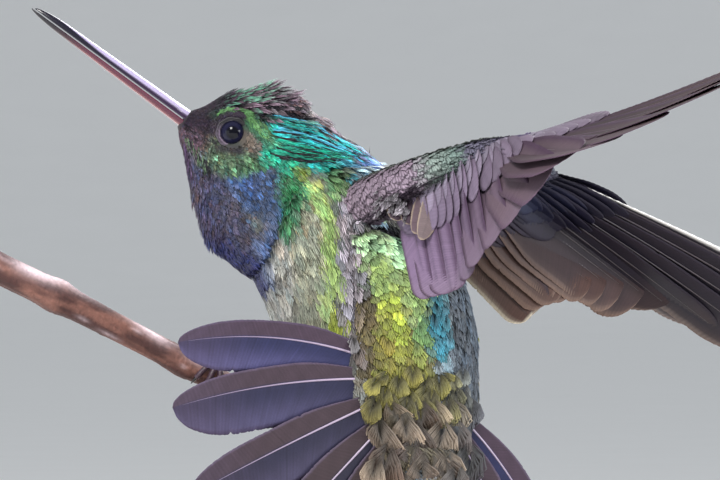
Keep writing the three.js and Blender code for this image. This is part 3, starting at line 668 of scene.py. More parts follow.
def tufts(pile, root, along, out, size, width, colours, lift, curl, barbs, rng, uv, camber=0.09,
          shafted=0.0, blunt=0.42, contrast=0.3, full=0.72, oval=0.0):
    """Feathers made of barbs: each barb is a thin closed blade that bends out to the feather's outline and
    tapers. The barbs leave one root, or with shafted up to 1 a shaft along the middle. With oval up to 1
    they bend back in at their tips. full is a barb's width against its share of the feather, and blunt is
    how much shorter the outer barbs are. colours are those of the root, two places on the way and the tip."""
    count = len(root)
    side = np.cross(out, along)
    share = np.linspace(-1, 1, barbs)[None] + rng.normal(0, 0.25 / barbs, (count, barbs))
    size, width, lift, curl = (np.broadcast_to(v, count)[:, None] for v in (size, width, lift, curl))
    reach = size * (1 - blunt * np.abs(share) ** 2.2) * rng.uniform(0.86, 1.06, (count, barbs))
    start = shafted * 0.72 * size * np.clip(1 - np.abs(share), 0, 1)
    spots = [  # share of the way out, share of the way along and share of the full thickness
        (mix(0.14, 0.02, shafted), 0.0, 0.3),
        (mix(0.66, 0.56, shafted), 0.4, 1.0),
        (1.0 - 0.1 * oval, mix(0.76, 0.86, shafted), mix(0.8, 1.0, shafted)),
        (mix(0.86, 0.96, shafted) - 0.45 * oval, 1.0, 0.0),
    ]
    centres = [(share * width / 2 * x, mix(start, reach, y)) for x, y, _ in spots]
    tilt = rng.normal(0, 0.03, (count, barbs)) / np.maximum(1, size)
    half = full * width / barbs
    ridge = 0.16 * width / barbs / full + 0.012

    def spot(x, y, z):
        height = lift * y - curl * y**2 / size - camber * x**2 + tilt * y + z
        return (root[:, None] + side[:, None] * x[..., None] + along[:, None] * y[..., None]
                + out[:, None] * height[..., None])

    points = [spot(*centres[0], 0)]
    for k in (1, 2):
        x, y = centres[k]
        ahead = unit(np.stack([centres[k + 1][i] - centres[k - 1][i] for i in (0, 1)], -1))
        ahead = ahead * (half * spots[k][2])[..., None]
        points += [spot(x - ahead[..., 1], y + ahead[..., 0], 0), spot(x, y, ridge),
                   spot(x + ahead[..., 1], y - ahead[..., 0], 0)]
    points = np.stack([*points, spot(*centres[3], 0)], 2)
    shade = np.stack([colours[k] for k in SPOT_OF_POINT], 1)[:, None]
    shade = shade * rng.uniform(1 - contrast, 1 + contrast, (count, barbs, 1, 1))
    starts = (len(SPOT_OF_POINT) * np.arange(count * barbs))[:, None, None]
    faces = [(starts + np.array(f)).reshape(-1, len(f[0])) for f in BARB_FACES]
    local = np.stack([np.stack([x / width, y / size], -1) for x, y in centres], 2)[:, :, SPOT_OF_POINT]
    pile.add(points, faces, shade, uv[:, None, None] + PATCH * local)


def plume_tones(colour, root=0.10, low=0.36, high=0.95, tip=1.25):
    """A feather's colour along its barbs, dark at the root."""
    return [np.clip(colour * k, 0, 1) for k in (root, low, high, tip)]


def uneven(rng, amount, count):
    """Factors about 1, one for each feather, that make them unlike in tone."""
    return np.exp(amount * rng.normal(0, 1, (count, 1)))


def skin_map(t, turn):
    """A place on the flat map of the skin."""
    return np.stack([(turn / (2 * np.pi)) % 1 * MAP_SHARE, t * MAP_SHARE], -1)


def limb_map(s, turn):
    """A place on the flat map of an arm or a leg."""
    return np.stack([turn / (2 * np.pi) * MAP_SHARE, s * MAP_SHARE], -1)


def rows_of_places(t_from, t_to, rng, gap, loose):
    """Staggered rows round the body, as close as the feathers' size asks."""
    places, t, number = [], t_from, 0
    while t < t_to:
        size = feather_size(t)
        rim = (read(HIGH, t) + read(WIDE, t)) / 2 * (2 * np.pi)
        count = max(3, int(rim / (gap * size)))
        turn = -np.pi + (np.arange(count) + 0.5 * (number % 2)) * (2 * np.pi) / count
        turn = turn + rng.normal(0, loose * (2 * np.pi) / count, count)
        share = t + rng.normal(0, 0.5 * loose * ROW_GAP * size / read(TRAVEL, t), count)
        places.append(np.stack([share, turn], 1))
        t += ROW_GAP * size / read(TRAVEL, t)
        number += 1
    return np.vstack(places)


def feather_size(t):
    """The plain feather's length at a share of the way along the body."""
    return np.interp(t, [0, 0.06, 0.14, 0.22, 0.32, 0.45, 0.6, 0.8, 1],
                     [0.28, 0.34, 0.52, 0.80, 1.05, 1.4, 1.75, 2.3, 2.7])


SOCKETS = [(EYE["x"], y, EYE["z"]) for y in (-4.7, 4.7)]  # on the skin, over each eye
PARTED = 2.0  # how far from a socket the feathers part round it
CLEARING = (1.45, 1.4, 3.0)  # no feather nearer than the first; half size at the second, full at the third
RUMP_HEIGHTS = (-13.0, -8.0)  # between these the rump's own coverts take over from the coat
RUMP_FACING = 0.4  # where the skin looks the tail fan's way by more than this


def eye_distance(p):
    return np.minimum(*(np.linalg.norm(p - socket, axis=-1) for socket in np.array(SOCKETS)))


def around_eyes(p, along, out):
    """Feathers near an eye part round it."""
    for socket in SOCKETS:
        away = p - socket
        near = np.exp(-((np.linalg.norm(away, axis=-1) / PARTED) ** 4))[:, None]
        along = across(along + 0.9 * near * across(away, out), out)
    return along


def coat(name, t_from, t_to, slot, material, seed, barbs, shafted=0.0, gap=0.5, loose=0.16):
    """One piece of the plumage, between two shares of the way along the body. gap is between two feathers
    of a row, against their length, and loose is how far they stray from it."""
    rng = np.random.default_rng(seed)
    t, turn = rows_of_places(t_from, t_to, rng, gap, loose).T
    p, back, out = skin_frame(t, turn)
    low, high = RUMP_HEIGHTS
    under_rump = (p[:, 2] > low) & (p[:, 2] < high) & (out @ FACING > RUMP_FACING)
    clear = (eye_distance(p) > CLEARING[0]) & ~under_rump
    t, turn, p, back, out = (v[clear] for v in (t, turn, p, back, out))
    along = around_eyes(p, combed(t, turn, back, out), out)
    along = strayed(along, out, 0.09, rng)
    longer, slender, lift, unlike = style(t, turn)
    plain = feather_size(t) * (0.5 + 0.5 * smooth(*CLEARING[1:], eye_distance(p)))
    size = plain * longer * rng.uniform(0.85, 1.2, len(t))
    glint = uneven(rng, unlike[:, None], len(t))
    drift = 0.14 * wave_noise(p, 1.6, seed)[:, None] * np.array([1.0, 0.3, -0.8])
    scatter = 0.14 * rng.normal(0, 1, (len(t), 1)) * np.array([1.0, -0.2, -0.8])
    hue = 1 + (drift + scatter) * np.interp(t, [0.35, 0.5], [1, 0.3])[:, None]
    colour = np.clip(markings(t, turn) * glint * np.clip(hue, 0.5, 1.6), 0, 1)
    lift = lift * rng.uniform(0.5, 1.5, len(t))
    soft = smooth(0.42, 0.56, t)[:, None]
    tones = plume_tones(colour, mix(0.10, 0.24, soft), mix(0.36, 0.55, soft), 0.95, mix(1.25, 1.12, soft))
    pile = Pile()
    tufts(pile, p, along, out, size, plain * longer * slender, tones, lift, 0.03 * size, barbs, rng,
          skin_map(t, turn), shafted=shafted, contrast=0.2 if shafted else 0.3, oval=0.6 if shafted else 0.0)
    pile.build(name, slot, material, with_map=True)


SKIN_GRID = (190, 150)  # rows along the body and points in each
SKIN_TONE = 0.25  # against the plumage's


def skin():
    """One skin for head, neck, trunk, rump and vent, in the plumage's own markings."""
    rows, columns = SKIN_GRID
    t = np.linspace(0.0, 1.0, rows)
    turn = full_turn(columns) - np.pi
    t, turn = (g.ravel() for g in np.meshgrid(t, turn, indexing="ij"))
    p = on_skin(t, turn)
    colour = SKIN_TONE * markings(t, turn) * (1 + 0.2 * wave_noise(p, 0.5, 3)[:, None])
    pile = Pile()
    pile.add(p, grid_solid(rows, columns), colour, skin_map(t, turn))
    pile.build("body_skin", "back_feathers", SOFT_COAT, ("head", "neck", "torso", "vent"), with_map=True)


# ---- vanes: flight, tail and covert feathers ----


def shaft_bend(root, tip, bow, lead, droop, upper):
    """The middle control point of a shaft that bows towards its leading edge and droops."""
    return (root + tip) / 2 + 2 * bow * lead + 2 * droop * upper


def along_shaft(root, tip, bend, s):
    """Places on a bent shaft and the way along it there."""
    s = np.asarray(s, float)[..., None]
    at = root * (1 - s) ** 2 + bend * 2 * s * (1 - s) + tip * s**2
    return at, unit((bend - root) * (1 - s) + (tip - bend) * s)


def outline_width(s, blunt, base):
    """The share of a feather's full width at a share of its length."""
    rise = base + (1 - base) * smooth(0.02, 0.5, s)
    end = np.clip((s - blunt) / (1 - blunt), 0, 1)
    return rise * np.sqrt(np.clip(1 - end**2.1, 0, 1))


def vane_frame(lead, upper, along):
    """The ways towards the leading edge and out of the upper face, square to the shaft."""
    cross = across(np.broadcast_to(lead, along.shape), along)
    out = np.cross(cross, along)
    return cross, out * np.where(np.sum(out * upper, -1, keepdims=True) < 0, -1, 1)


# What a vane has unless it is told otherwise: how far its shaft bows and droops, its thickness, how high
# every second barb rises, how ragged its margins are, how many splits they have, and how bright its lower
# face is against the upper one.
PLAIN_VANE = {"bow": 0.0, "droop": 0.0, "thick": 0.07, "ridge": 0.02, "ragged": 0.012, "splits": 0,
              "below": 1.0}


def vane(pile, shafts, feather, rng, rows, columns):
    """A flat feather: a shaft between a narrow leading vane and a wide trailing one, both cut by slanting
    barbs, with a thin body between its upper and lower face. lead and upper are the ways to its leading
    edge and out of its upper face, lead_share is the leading vane's share of the width, base is the width
    at the root against the full one, blunt is where the end begins, and tilt turns it about its shaft by
    degrees. r and u are places on the grid: u is 1 at the leading edge, 0 on the shaft and -1 at the
    trailing edge."""
    feather = PLAIN_VANE | feather
    root, tip, lead, upper = (np.asarray(feather[k], float) for k in ("root", "tip", "lead", "upper"))
    tilt, slant = math.radians(feather["tilt"]), feather["slant"]
    bend = shaft_bend(root, tip, feather["bow"], unit(lead), feather["droop"], unit(upper))

    r = np.linspace(0, 1, rows)[:, None]
    u = np.concatenate([np.linspace(1, 0, columns + 1), -np.linspace(0, 1, columns + 1)[1:]])[None]
    from_shaft, leading = np.abs(u), u > 0
    every_second = np.where(np.arange(rows) % 2 == 0, 1.0, -1.0)[:, None]
    ragged = 1 - np.abs(rng.normal(0, feather["ragged"], (rows, 1))) * from_shaft
    for _ in range(feather["splits"]):
        at = rng.uniform(0.35, 0.92)
        ragged -= 0.08 * bell(r, at, 0.006) * (u * rng.choice([-1, 1]) > 0) * from_shaft
    edge = np.minimum(r + slant * (1 - r) * np.where(leading, 0.6, 1.0), 1)
    s = r + (edge - r) * from_shaft
    share = np.where(leading, feather["lead_share"], 1 - feather["lead_share"])
    side = u * feather["width"] * share * outline_width(edge, feather["blunt"], feather["base"]) * ragged
    at, along = along_shaft(root, tip, bend, s)
    cross, out = vane_frame(lead, upper, along)
    cross, out = (cross * math.cos(tilt) + out * math.sin(tilt),
                  out * math.cos(tilt) - cross * math.sin(tilt))
    height = every_second * feather["ridge"] * np.minimum(1, 4 * from_shaft)
    height = height - feather["camber"] * np.abs(side) ** 1.5
    body = feather["thick"] / 2 * (1 - 0.8 * from_shaft) + 0.006
    top, under = (at + cross * side[..., None] + out * (height + z)[..., None] for z in (body, -body))
    paint = feather["paint"](s, u * np.ones_like(s))
    paint = paint * (1 + rng.normal(0, 0.05, (rows, 1, 1)) - 0.08 * every_second[..., None])
    below = feather["below"] * paint
    flat = pile.cell((u + 1) / 2 * np.ones_like(s), s)
    ring, colours, uvs = (np.concatenate([a, b[:, ::-1]], 1)
                          for a, b in ((top, under), (paint, below), (flat, flat)))
    pile.add(ring, grid_solid(rows, ring.shape[1]), colours, uvs)
    if shafts is not None:
        s = np.linspace(0, 0.96, 26)
        at, along = along_shaft(root, tip, bend, s)
        rise = vane_frame(lead, upper, along)[1]
        radius = feather["shaft_radius"] * (1 - 0.85 * s)
        colours = mix(*feather["shaft_colours"], s[:, None])
        tube(shafts, at + rise * 0.02, radius, 7, colours, rise.mean(0))


OUTERMOST_WIDTH = 0.85  # of the full width, taken off its inner vane
FAN_LAYER = 0.11  # how far each tail feather lies behind its inner neighbour


def tail_direction(degrees):
    """The way in the fan's plane that shows in profile at an angle from +X."""
    turn = math.radians(degrees)
    flat = np.array([math.cos(turn), 0, math.sin(turn)])
    flat[1] = -(flat[0] * FACING[0] + flat[2] * FACING[2]) / FACING[1]
    return unit(flat)


def tail_paint(central):
    """Slate by the shaft and lilac-grey to the margin on the inner vane, brown on the outer one; browner in
    the middle pair."""
    brown = central**0.6
    outer = mix(rgb(20, 15, 20), rgb(18, 14, 15), brown)
    near_shaft = mix(rgb(10, 11, 23), rgb(12, 11, 15), brown)
    margin = mix(rgb(25, 24, 38), rgb(19, 17, 20), brown)
    rim, end = rgb(32, 28, 37), rgb(23, 19, 26)

    def paint(s, u):
        inner = mix(near_shaft, margin, (smooth(0.1, 0.95, np.abs(u)) * smooth(0.05, 0.5, s))[..., None])
        colour = np.where((u > 0)[..., None], outer, inner)
        colour = mix(colour, end, (smooth(0.6, 1.0, s) * 0.5)[..., None])
        colour = mix(colour, rim, (smooth(0.86, 1.0, np.abs(u)) * 0.55)[..., None])
        return colour * (0.8 + 0.25 * smooth(0, 0.35, s) + 0.05 * np.sin(60 * s + 6 * np.abs(u)))[..., None]

    return paint


def tail():
    """Ten tail feathers, each over the next one outwards."""
    rng = np.random.default_rng(41)
    vanes, shafts = Pile(4), Pile()
    last = len(TAIL["spread"]) - 1
    for i, degrees in enumerate(TAIL["spread"]):
        along = tail_direction(degrees)
        outwards = -1 if i <= last / 2 else 1
        central = 1 - abs(2 * i / last - 1)
        length = mix(TAIL["outer_length"], TAIL["length"], central)
        narrow = OUTERMOST_WIDTH if i == 0 else 1
        start = TAIL_ROOT - FACING * FAN_LAYER * abs(i - last / 2)
        vane(vanes, shafts, {
            "root": start + along * 0.8, "tip": start + along * length,
            "lead": tail_direction(degrees + outwards * 90), "upper": FACING, "width": TAIL["width"] * narrow,
            "lead_share": mix(0.27, 0.45, central) / narrow, "bow": TAIL["bows"][i], "tilt": 3.0,
            "blunt": 0.72, "base": 0.2, "thick": 0.08, "slant": 0.14, "camber": 0.02, "ridge": 0.012,
            "paint": tail_paint(central), "below": 0.9, "splits": 1,
            "shaft_colours": (rgb(66, 60, 68), rgb(30, 26, 36)), "shaft_radius": 0.16,
        }, rng, rows=130, columns=7)
    vanes.build("tail_vanes", "tail_feathers", VANE, ("tail",), with_map=True)
    shafts.build("tail_shafts", "tail_feathers", SHAFT)


# ---- wings ----


def keyed(keys, n):
    """A smooth curve through keyed points, read at a feather's number."""
    numbers = np.array([k[0] for k in keys], float)
    k = min(int(np.searchsorted(numbers, n, side="right")) - 1, len(keys) - 2)
    part = (n - numbers[k]) / (numbers[k + 1] - numbers[k])
    return catmull([key[1:] for key in keys], (k + part) / (len(keys) - 1))[0]


SECONDARY_ROOTS = (0.16, 0.8)  # the share of the forearm before the first one and the share that all take


def wing_place(wing, n):
    """A feather of the wing: root, tip, the way to the leading edge and out of the upper face, how far the
    shaft bends each way, and the width."""
    _, shoulder, wrist, hand_end = (np.array(p, float) for p in wing["bone"])
    last = FLIGHT_FEATHERS - 1
    if n < SECONDARIES:
        root = mix(shoulder, wrist, SECONDARY_ROOTS[0] + SECONDARY_ROOTS[1] * n / SECONDARIES)
    else:
        root = mix(wrist, hand_end, (n - SECONDARIES) / (last - SECONDARIES))
    tip = keyed(wing["tips"], n)
    lead = keyed(wing["tips"], min(n + 0.5, last)) - keyed(wing["tips"], max(n - 0.5, 0))
    upper = unit(np.cross(lead, tip - root)) * wing["hand"]
    outwards = max(0, n - SECONDARIES) / (last - SECONDARIES) * np.linalg.norm(tip - root)
    return {
        "root": root, "tip": tip, "lead": unit(lead), "upper": upper, "bow": PRIMARY_BOW * outwards,
        "droop": wing["droop"] * outwards, "width": float(np.interp(n, *FLIGHT_WIDTHS)),
    }


# Colours by the number of the feather, from the innermost secondary out, and of the arm from the shoulder
# out. rim_from is where the trailing rim begins, and rimmed is up to which feather the tips have one.
# lead_rim is partly the leading edges' own darker tone and partly painted shadow where the feathers overlap;
# the arm's hollow colour is painted shade in the armpit.
LEFT_SHADES = {  # underside of the left wing, which is lit
    "numbers": [0, 4, 7, 10, 12, 15],
    "vanes": [rgb(41, 34, 44), rgb(38, 32, 40), rgb(34, 28, 32),
              rgb(24, 18, 21), rgb(17, 12, 13), rgb(20, 12, 10)],
    "lead_rim": rgb(19, 11, 20), "inner_rim": rgb(36, 29, 36), "trail_rim": rgb(33, 25, 33),
    "tip": rgb(44, 38, 45), "outer_tip": rgb(20, 13, 13), "front": rgb(24, 17, 18),
    "shaft": (rgb(30, 22, 30), rgb(22, 14, 18)),
    "covert": rgb(40, 36, 43), "marginal": rgb(48, 46, 51),
    "arm": [(0.0, rgb(46, 40, 45)), (0.42, rgb(48, 42, 48)), (0.49, rgb(46, 51, 49)),
            (0.57, rgb(38, 45, 43)), (0.62, rgb(34, 33, 40)), (1.0, rgb(34, 29, 42))],
    "edge": rgb(30, 32, 30), "armpit_shade": rgb(20, 15, 21), "rim_from": 0.86, "rimmed": 3,
}
# The right wing's tones are all darkened as painted shade; its front edge colour is a painted rim light along
# the foremost feather's leading edge, and its pale inner and trailing rims are partly the feathers' own
# fringes and partly painted light shining through them.
RIGHT_TONES_IN_PAINTED_SHADE = {  # upper side of the right wing, which is in shade
    "numbers": [0, 3, 6, 10, 15],
    "vanes": [rgb(19, 13, 11), rgb(20, 14, 12), rgb(16, 11, 11), rgb(8, 6, 11), rgb(6, 4, 9)],
    "lead_rim": rgb(10, 7, 12), "inner_rim": rgb(80, 76, 68), "trail_rim": rgb(44, 36, 32),
    "tip": rgb(28, 18, 15), "outer_tip": rgb(20, 13, 12), "front": rgb(88, 87, 86),
    "shaft": (rgb(12, 8, 12), rgb(14, 9, 11)),
    "covert": rgb(4, 4, 12), "marginal": rgb(5, 8, 17),
    "arm": [(0.0, rgb(12, 20, 22)), (0.5, rgb(10, 20, 26)), (1.0, rgb(12, 10, 19))],
    "edge": rgb(24, 26, 32), "armpit_shade": rgb(10, 12, 18), "rim_from": 0.74, "rimmed": 3,
}


def ramp(at, numbers, colours):
    """A colour between the ones given at numbers."""
    at = np.asarray(at, float)
    return np.stack([np.interp(at, numbers, np.array(colours)[:, k]) for k in range(3)], -1)


def flight_paint(tones, n):
    """A flight feather's own tone, darker ahead of the shaft, partly as painted shadow where the feathers
    overlap, and rimmed behind it, on the right wing partly with painted light shining through.
    """
    own = ramp(n, tones["numbers"], tones["vanes"])
    foremost = n == FLIGHT_FEATHERS - 1
    rim = mix(tones["inner_rim"], tones["trail_rim"], smooth(0, 2, n))
    end = mix(tones["tip"], tones["outer_tip"], smooth(5, 11, n))

    def paint(s, u):
        colour = own * (0.75 + 0.35 * smooth(0.1, 0.8, s))[..., None]
        colour = mix(colour, end, (smooth(0.72, 1, s) * 0.5)[..., None])
        # the lead rim is partly the leading vane's own darker tone and partly painted shadow where the
        # feathers overlap
        lead = smooth(0.35, 0.95, u) * (1.0 if foremost else 0.8)
        trail = smooth(tones["rim_from"], 1.0, -u) * (0.4 + 0.6 * smooth(0.4, 0.9, s))
        # the foremost feather's front edge colour is, on the right wing, a painted rim light along its
        # leading edge
        colour = mix(colour, tones["front"] if foremost else tones["lead_rim"], lead[..., None])
        trail = np.maximum(trail, smooth(0.97, 1.0, s) * smooth(tones["rimmed"] + 3, tones["rimmed"], n))
        colour = mix(colour, rim, (0.8 * trail)[..., None])
        return colour * (1 - 0.25 * smooth(0.25, 0.0, np.abs(u)))[..., None]

    return paint


def flight_feathers(wing, tones):
    """Six secondaries and ten primaries, broad within and pointed outwards."""
    rng = np.random.default_rng(50 + wing["seed"])
    vanes, shafts = Pile(4), Pile()
    last = FLIGHT_FEATHERS - 1
    for n in range(FLIGHT_FEATHERS):
        outwards = max(0, n - SECONDARIES) / (last - SECONDARIES)
        vane(vanes, shafts, wing_place(wing, n) | {
            "lead_share": 0.36 - 0.16 * outwards, "tilt": 3.0 if n < SECONDARIES else 1.0,
            "blunt": 0.86 if n < 9 else 0.8, "base": 0.4, "camber": 0.03,
            "slant": 0.2 if n < SECONDARIES else 0.13, "paint": flight_paint(tones, n), "splits": 1,
            "shaft_colours": tones["shaft"], "shaft_radius": 0.13 + 0.05 * outwards,
        }, rng, rows=96, columns=5)
    name = f"wing_{wing['name']}"
    vanes.build(f"{name}_flight", "wing_feathers", VANE, (f"{name}_arm", f"{name}_hand"), with_map=True)
    shafts.build(f"{name}_shafts", "wing_feathers", SHAFT)


# Rows of coverts on each face: numbers of the feathers that they lie between, how many, share of the
# flight feather that they reach, the longest they get, width, and lift off the blades.
COVERT_ROWS = [
    (0.0, 14.6, 20, 0.46, 8.2, 3.2, 0.3),
    (0.2, 13.0, 19, 0.32, 5.8, 2.8, 0.5),
    (0.2, 11.0, 18, 0.21, 3.9, 2.4, 0.72),
]


def covert_paint(colour, rim, strength=0.3):
    """One tone with a rim round it."""
    def paint(s, u):
        base = colour * np.ones(s.shape + (1,))
        edge = np.maximum(smooth(0.8, 1.0, np.abs(u)), smooth(0.95, 1.0, s))
        base = mix(base, rim, (edge * strength)[..., None])
        return base * (0.7 + 0.4 * smooth(0, 0.7, s) - 0.15 * smooth(0.2, 0, np.abs(u)))[..., None]

    return paint


def coverts(wing, tones):
    """Rows of coverts over the roots of the flight feathers, on both faces."""
    rng = np.random.default_rng(70 + wing["seed"])
    vanes = Pile(11)
    for face in (1, -1):
        for row, (start, end, count, share, longest, width, lift) in enumerate(COVERT_ROWS):
            for n in np.linspace(start, end, count):
                place = wing_place(wing, n)
                root, tip, upper = place["root"], place["tip"], place["upper"]
                length = np.linalg.norm(tip - root)
                reach = min(share * length, longest) * rng.uniform(0.92, 1.08)
                bend = shaft_bend(root, tip, place["bow"], place["lead"], place["droop"], upper)
                end_at = along_shaft(root, tip, bend, reach / length)[0]
                flight = ramp(n, tones["numbers"], tones["vanes"])
                colour = mix(tones["covert"], flight, 0.35 - 0.15 * row)
                colour = mix(colour, tones["marginal"], 0.25 * row) * rng.uniform(0.8, 1.2)
                # the coverts' rims take the lead rim's colour: partly their own darker edges and partly
                # painted shadow where they overlap
                vane(vanes, None, {
                    "root": root + upper * 0.3 * face, "lead": place["lead"], "upper": upper * face,
                    "tip": end_at + upper * lift * face, "width": width, "lead_share": 0.45,
                    "tilt": 4.0 * face, "blunt": 0.62, "base": 0.5, "camber": 0.03, "slant": 0.22,
                    "paint": covert_paint(colour, tones["lead_rim"]), "thick": 0.05, "droop": 0.03 * reach,
                }, rng, rows=30, columns=3)
    vanes.build(f"wing_{wing['name']}_coverts", "wing_feathers", VANE, with_map=True)


ARM_RADII = ([0, 0.33, 0.66, 1], [2.3, 1.75, 1.05, 0.45])
ARM_FLATNESS = 0.62
ARM_ROWS = (40, 25)  # rows of scales along the arm and scales in each


def arm_frame(wing, s, turn):
    """A place on the arm's skin, the way to the feathers' tips and the way out."""
    bone = np.array(wing["bone"], float)
    at = catmull(bone, s)
    along = unit(catmull(bone, np.minimum(s + 0.01, 1)) - catmull(bone, np.maximum(s - 0.01, 0)))
    back = np.array([wing_place(wing, n)["tip"] - wing_place(wing, n)["root"] for n in (0, 5, 10)])
    trail = unit(np.stack([np.interp(s, [0.33, 0.66, 1], back[:, k]) for k in range(3)], -1))
    trail = across(trail, along)
    up = np.cross(along, trail)
    radius = np.interp(s, *ARM_RADII)[:, None]
    flat = np.interp(s, [0, 0.33, 1], [1, ARM_FLATNESS, ARM_FLATNESS])[:, None]
    cos, sin = np.cos(turn)[:, None], np.sin(turn)[:, None]
    out = unit(trail * cos * flat + up * sin)
    return at + (trail * cos + up * sin * flat) * radius, across(trail + 0.5 * along, out), out


def arm(wing, tones):
    """Skin of the arm and its small, smooth, scale-like feathers."""
    rng = np.random.default_rng(90 + wing["seed"])
    rings, sides = 26, 16
    skin_pile, pile = Pile(), Pile()
    s = np.repeat(np.linspace(0.0, 1, rings), sides)
    turn = np.tile(full_turn(sides), rings)
    p = arm_frame(wing, s, turn)[0]
    skin_pile.add(p, grid_solid(rings, sides), 0.3 * tones["covert"])
    skin_pile.build(f"wing_{wing['name']}_arm_skin", "wing_feathers", SOFT_COAT)
    rows, round_arm = ARM_ROWS
    count = rows * round_arm
    row, place = np.divmod(np.arange(count), round_arm)
    s = 0.02 + 0.98 * (row + rng.uniform(0.2, 0.8, count)) / rows
    turn = 2 * np.pi * (place + 0.5 * (row % 2) + rng.uniform(-0.15, 0.15, count)) / round_arm
    p, flow, out = arm_frame(wing, s, turn)
    flow = strayed(flow, out, 0.1, rng)
    size = np.interp(s, [0, 0.5, 1], [2.4, 2.0, 1.3]) * rng.uniform(0.85, 1.15, count)
    at_edge = smooth(-0.9, -0.99, np.cos(turn))[:, None]
    size = size * (1 - 0.5 * smooth(-0.6, -0.95, np.cos(turn)))
    colour = ramp(s, [at for at, _ in tones["arm"]], [tone for _, tone in tones["arm"]])
    patch = 1 + 0.22 * wave_noise(p, 0.8, 7)[:, None]
    # painted shade: darker near the shoulder on the arm's trailing side, in the armpit
    armpit_shade = (smooth(0.55, 0.4, s) * smooth(0.05, 0.5, np.cos(turn)))[:, None]
    colour = mix(mix(colour, tones["edge"], at_edge), tones["armpit_shade"], armpit_shade)
    colour = colour * uneven(rng, 0.1, count) * patch
    tufts(pile, p, flow, out, size, 0.85 * size, plume_tones(colour, 0.8, 0.92, 1.0, 1.06), 0.10, 0.10 * size,
          13, rng, limb_map(s, turn), shafted=0.7, blunt=0.25, contrast=0.04, full=1.4)
    pile.build(f"wing_{wing['name']}_scales", "wing_feathers", SOFT_COAT, with_map=True)


# Vanes that hang from the left arm over the armpit: root, tip and colour.
AXILLARS = [
    ((5.9, -10.6, 13.0), (4.5, -11.5, 7.0), rgb(35, 30, 31)),
    ((5.0, -10.3, 12.6), (3.9, -11.1, 7.6), rgb(28, 22, 25)),
    ((3.6, -9.9, 12.0), (3.0, -10.6, 8.6), rgb(18, 12, 17)),
    ((2.0, -9.4, 11.4), (1.8, -10.2, 9.0), rgb(16, 10, 15)),
]
AXILLAR_WIDTH = 2.2
BUFF_RIM = rgb(60, 54, 47)
CURLS = 44


def armpit():
    """Inner vanes with buff rims, and curled lilac feathers over them."""
    rng = np.random.default_rng(110)
    vanes, curls = Pile(2), Pile()
    for root, tip, colour in AXILLARS:
        vane(vanes, None, {
            "root": root, "tip": tip, "lead": (-1, 0, 0.1), "upper": (0, -1, 0), "width": AXILLAR_WIDTH,
            "lead_share": 0.5, "tilt": -6.0, "blunt": 0.5, "base": 0.4, "camber": 0.06, "slant": 0.25,
            "paint": covert_paint(colour, BUFF_RIM, 0.75), "thick": 0.05, "bow": -0.3, "ragged": 0.04,
        }, rng, rows=60, columns=5)
    vanes.build("armpit_vanes", "wing_feathers", VANE, with_map=True)
    x = rng.uniform(0.2, 3.8, CURLS)
    z = 11.0 - 0.25 * (x - 1.6) ** 2 + rng.normal(0, 0.5, CURLS)
    root = np.stack([x, -9.9 - 0.22 * x + rng.normal(0, 0.1, CURLS), z], -1)
    out = unit(np.stack([rng.normal(0, 0.2, CURLS), -np.ones(CURLS), rng.normal(0.1, 0.2, CURLS)], -1))
    along = across(np.stack([rng.normal(-0.5, 0.6, CURLS), 0 * x, -np.ones(CURLS)], -1), out)
    size = rng.uniform(0.7, 1.4, CURLS)
    tone = LILAC * np.exp(0.35 * rng.normal(-1.2, 1, (CURLS, 1)))
    tufts(curls, root, along, out, size, 0.3 * size, plume_tones(tone, 0.15, 0.3), 0.4, 0.6 * size, 4, rng,
          np.stack([0.1 + 0.02 * x, 0.3 + 0.02 * z], -1))
    curls.build("armpit_curls", "wing_feathers", SOFT_COAT, with_map=True)


# ---- rump: the coverts over the tail's roots ----

# Rows of the tail's coverts from the lowest up: height of the roots, length, count and lift.
RUMP_ROWS = [(-14.6, 5.6, 5, 1.3), (-12.6, 6.2, 5, 1.5), (-10.6, 5.6, 5, 1.45), (-9.0, 4.6, 6, 1.3),
             (-8.0, 3.6, 7, 1.15), (-7.0, 3.1, 7, 1.05), (-6.1, 2.6, 8, 0.95)]
RUMP_SPAN = ((0.0, 9.0), (-1.0, 9.6))  # X at both ends of a row: of the roots and of the tips
OVER_TAIL = 0.4  # how far over the fan's plane they lie
RUMP_BARBS = 41
GOLD_HEIGHTS = (-9.6, -7.6)  # gold from the second up, beige or maroon below the first
BEIGE, MAROON = rgb(56, 50, 44), rgb(38, 28, 28)


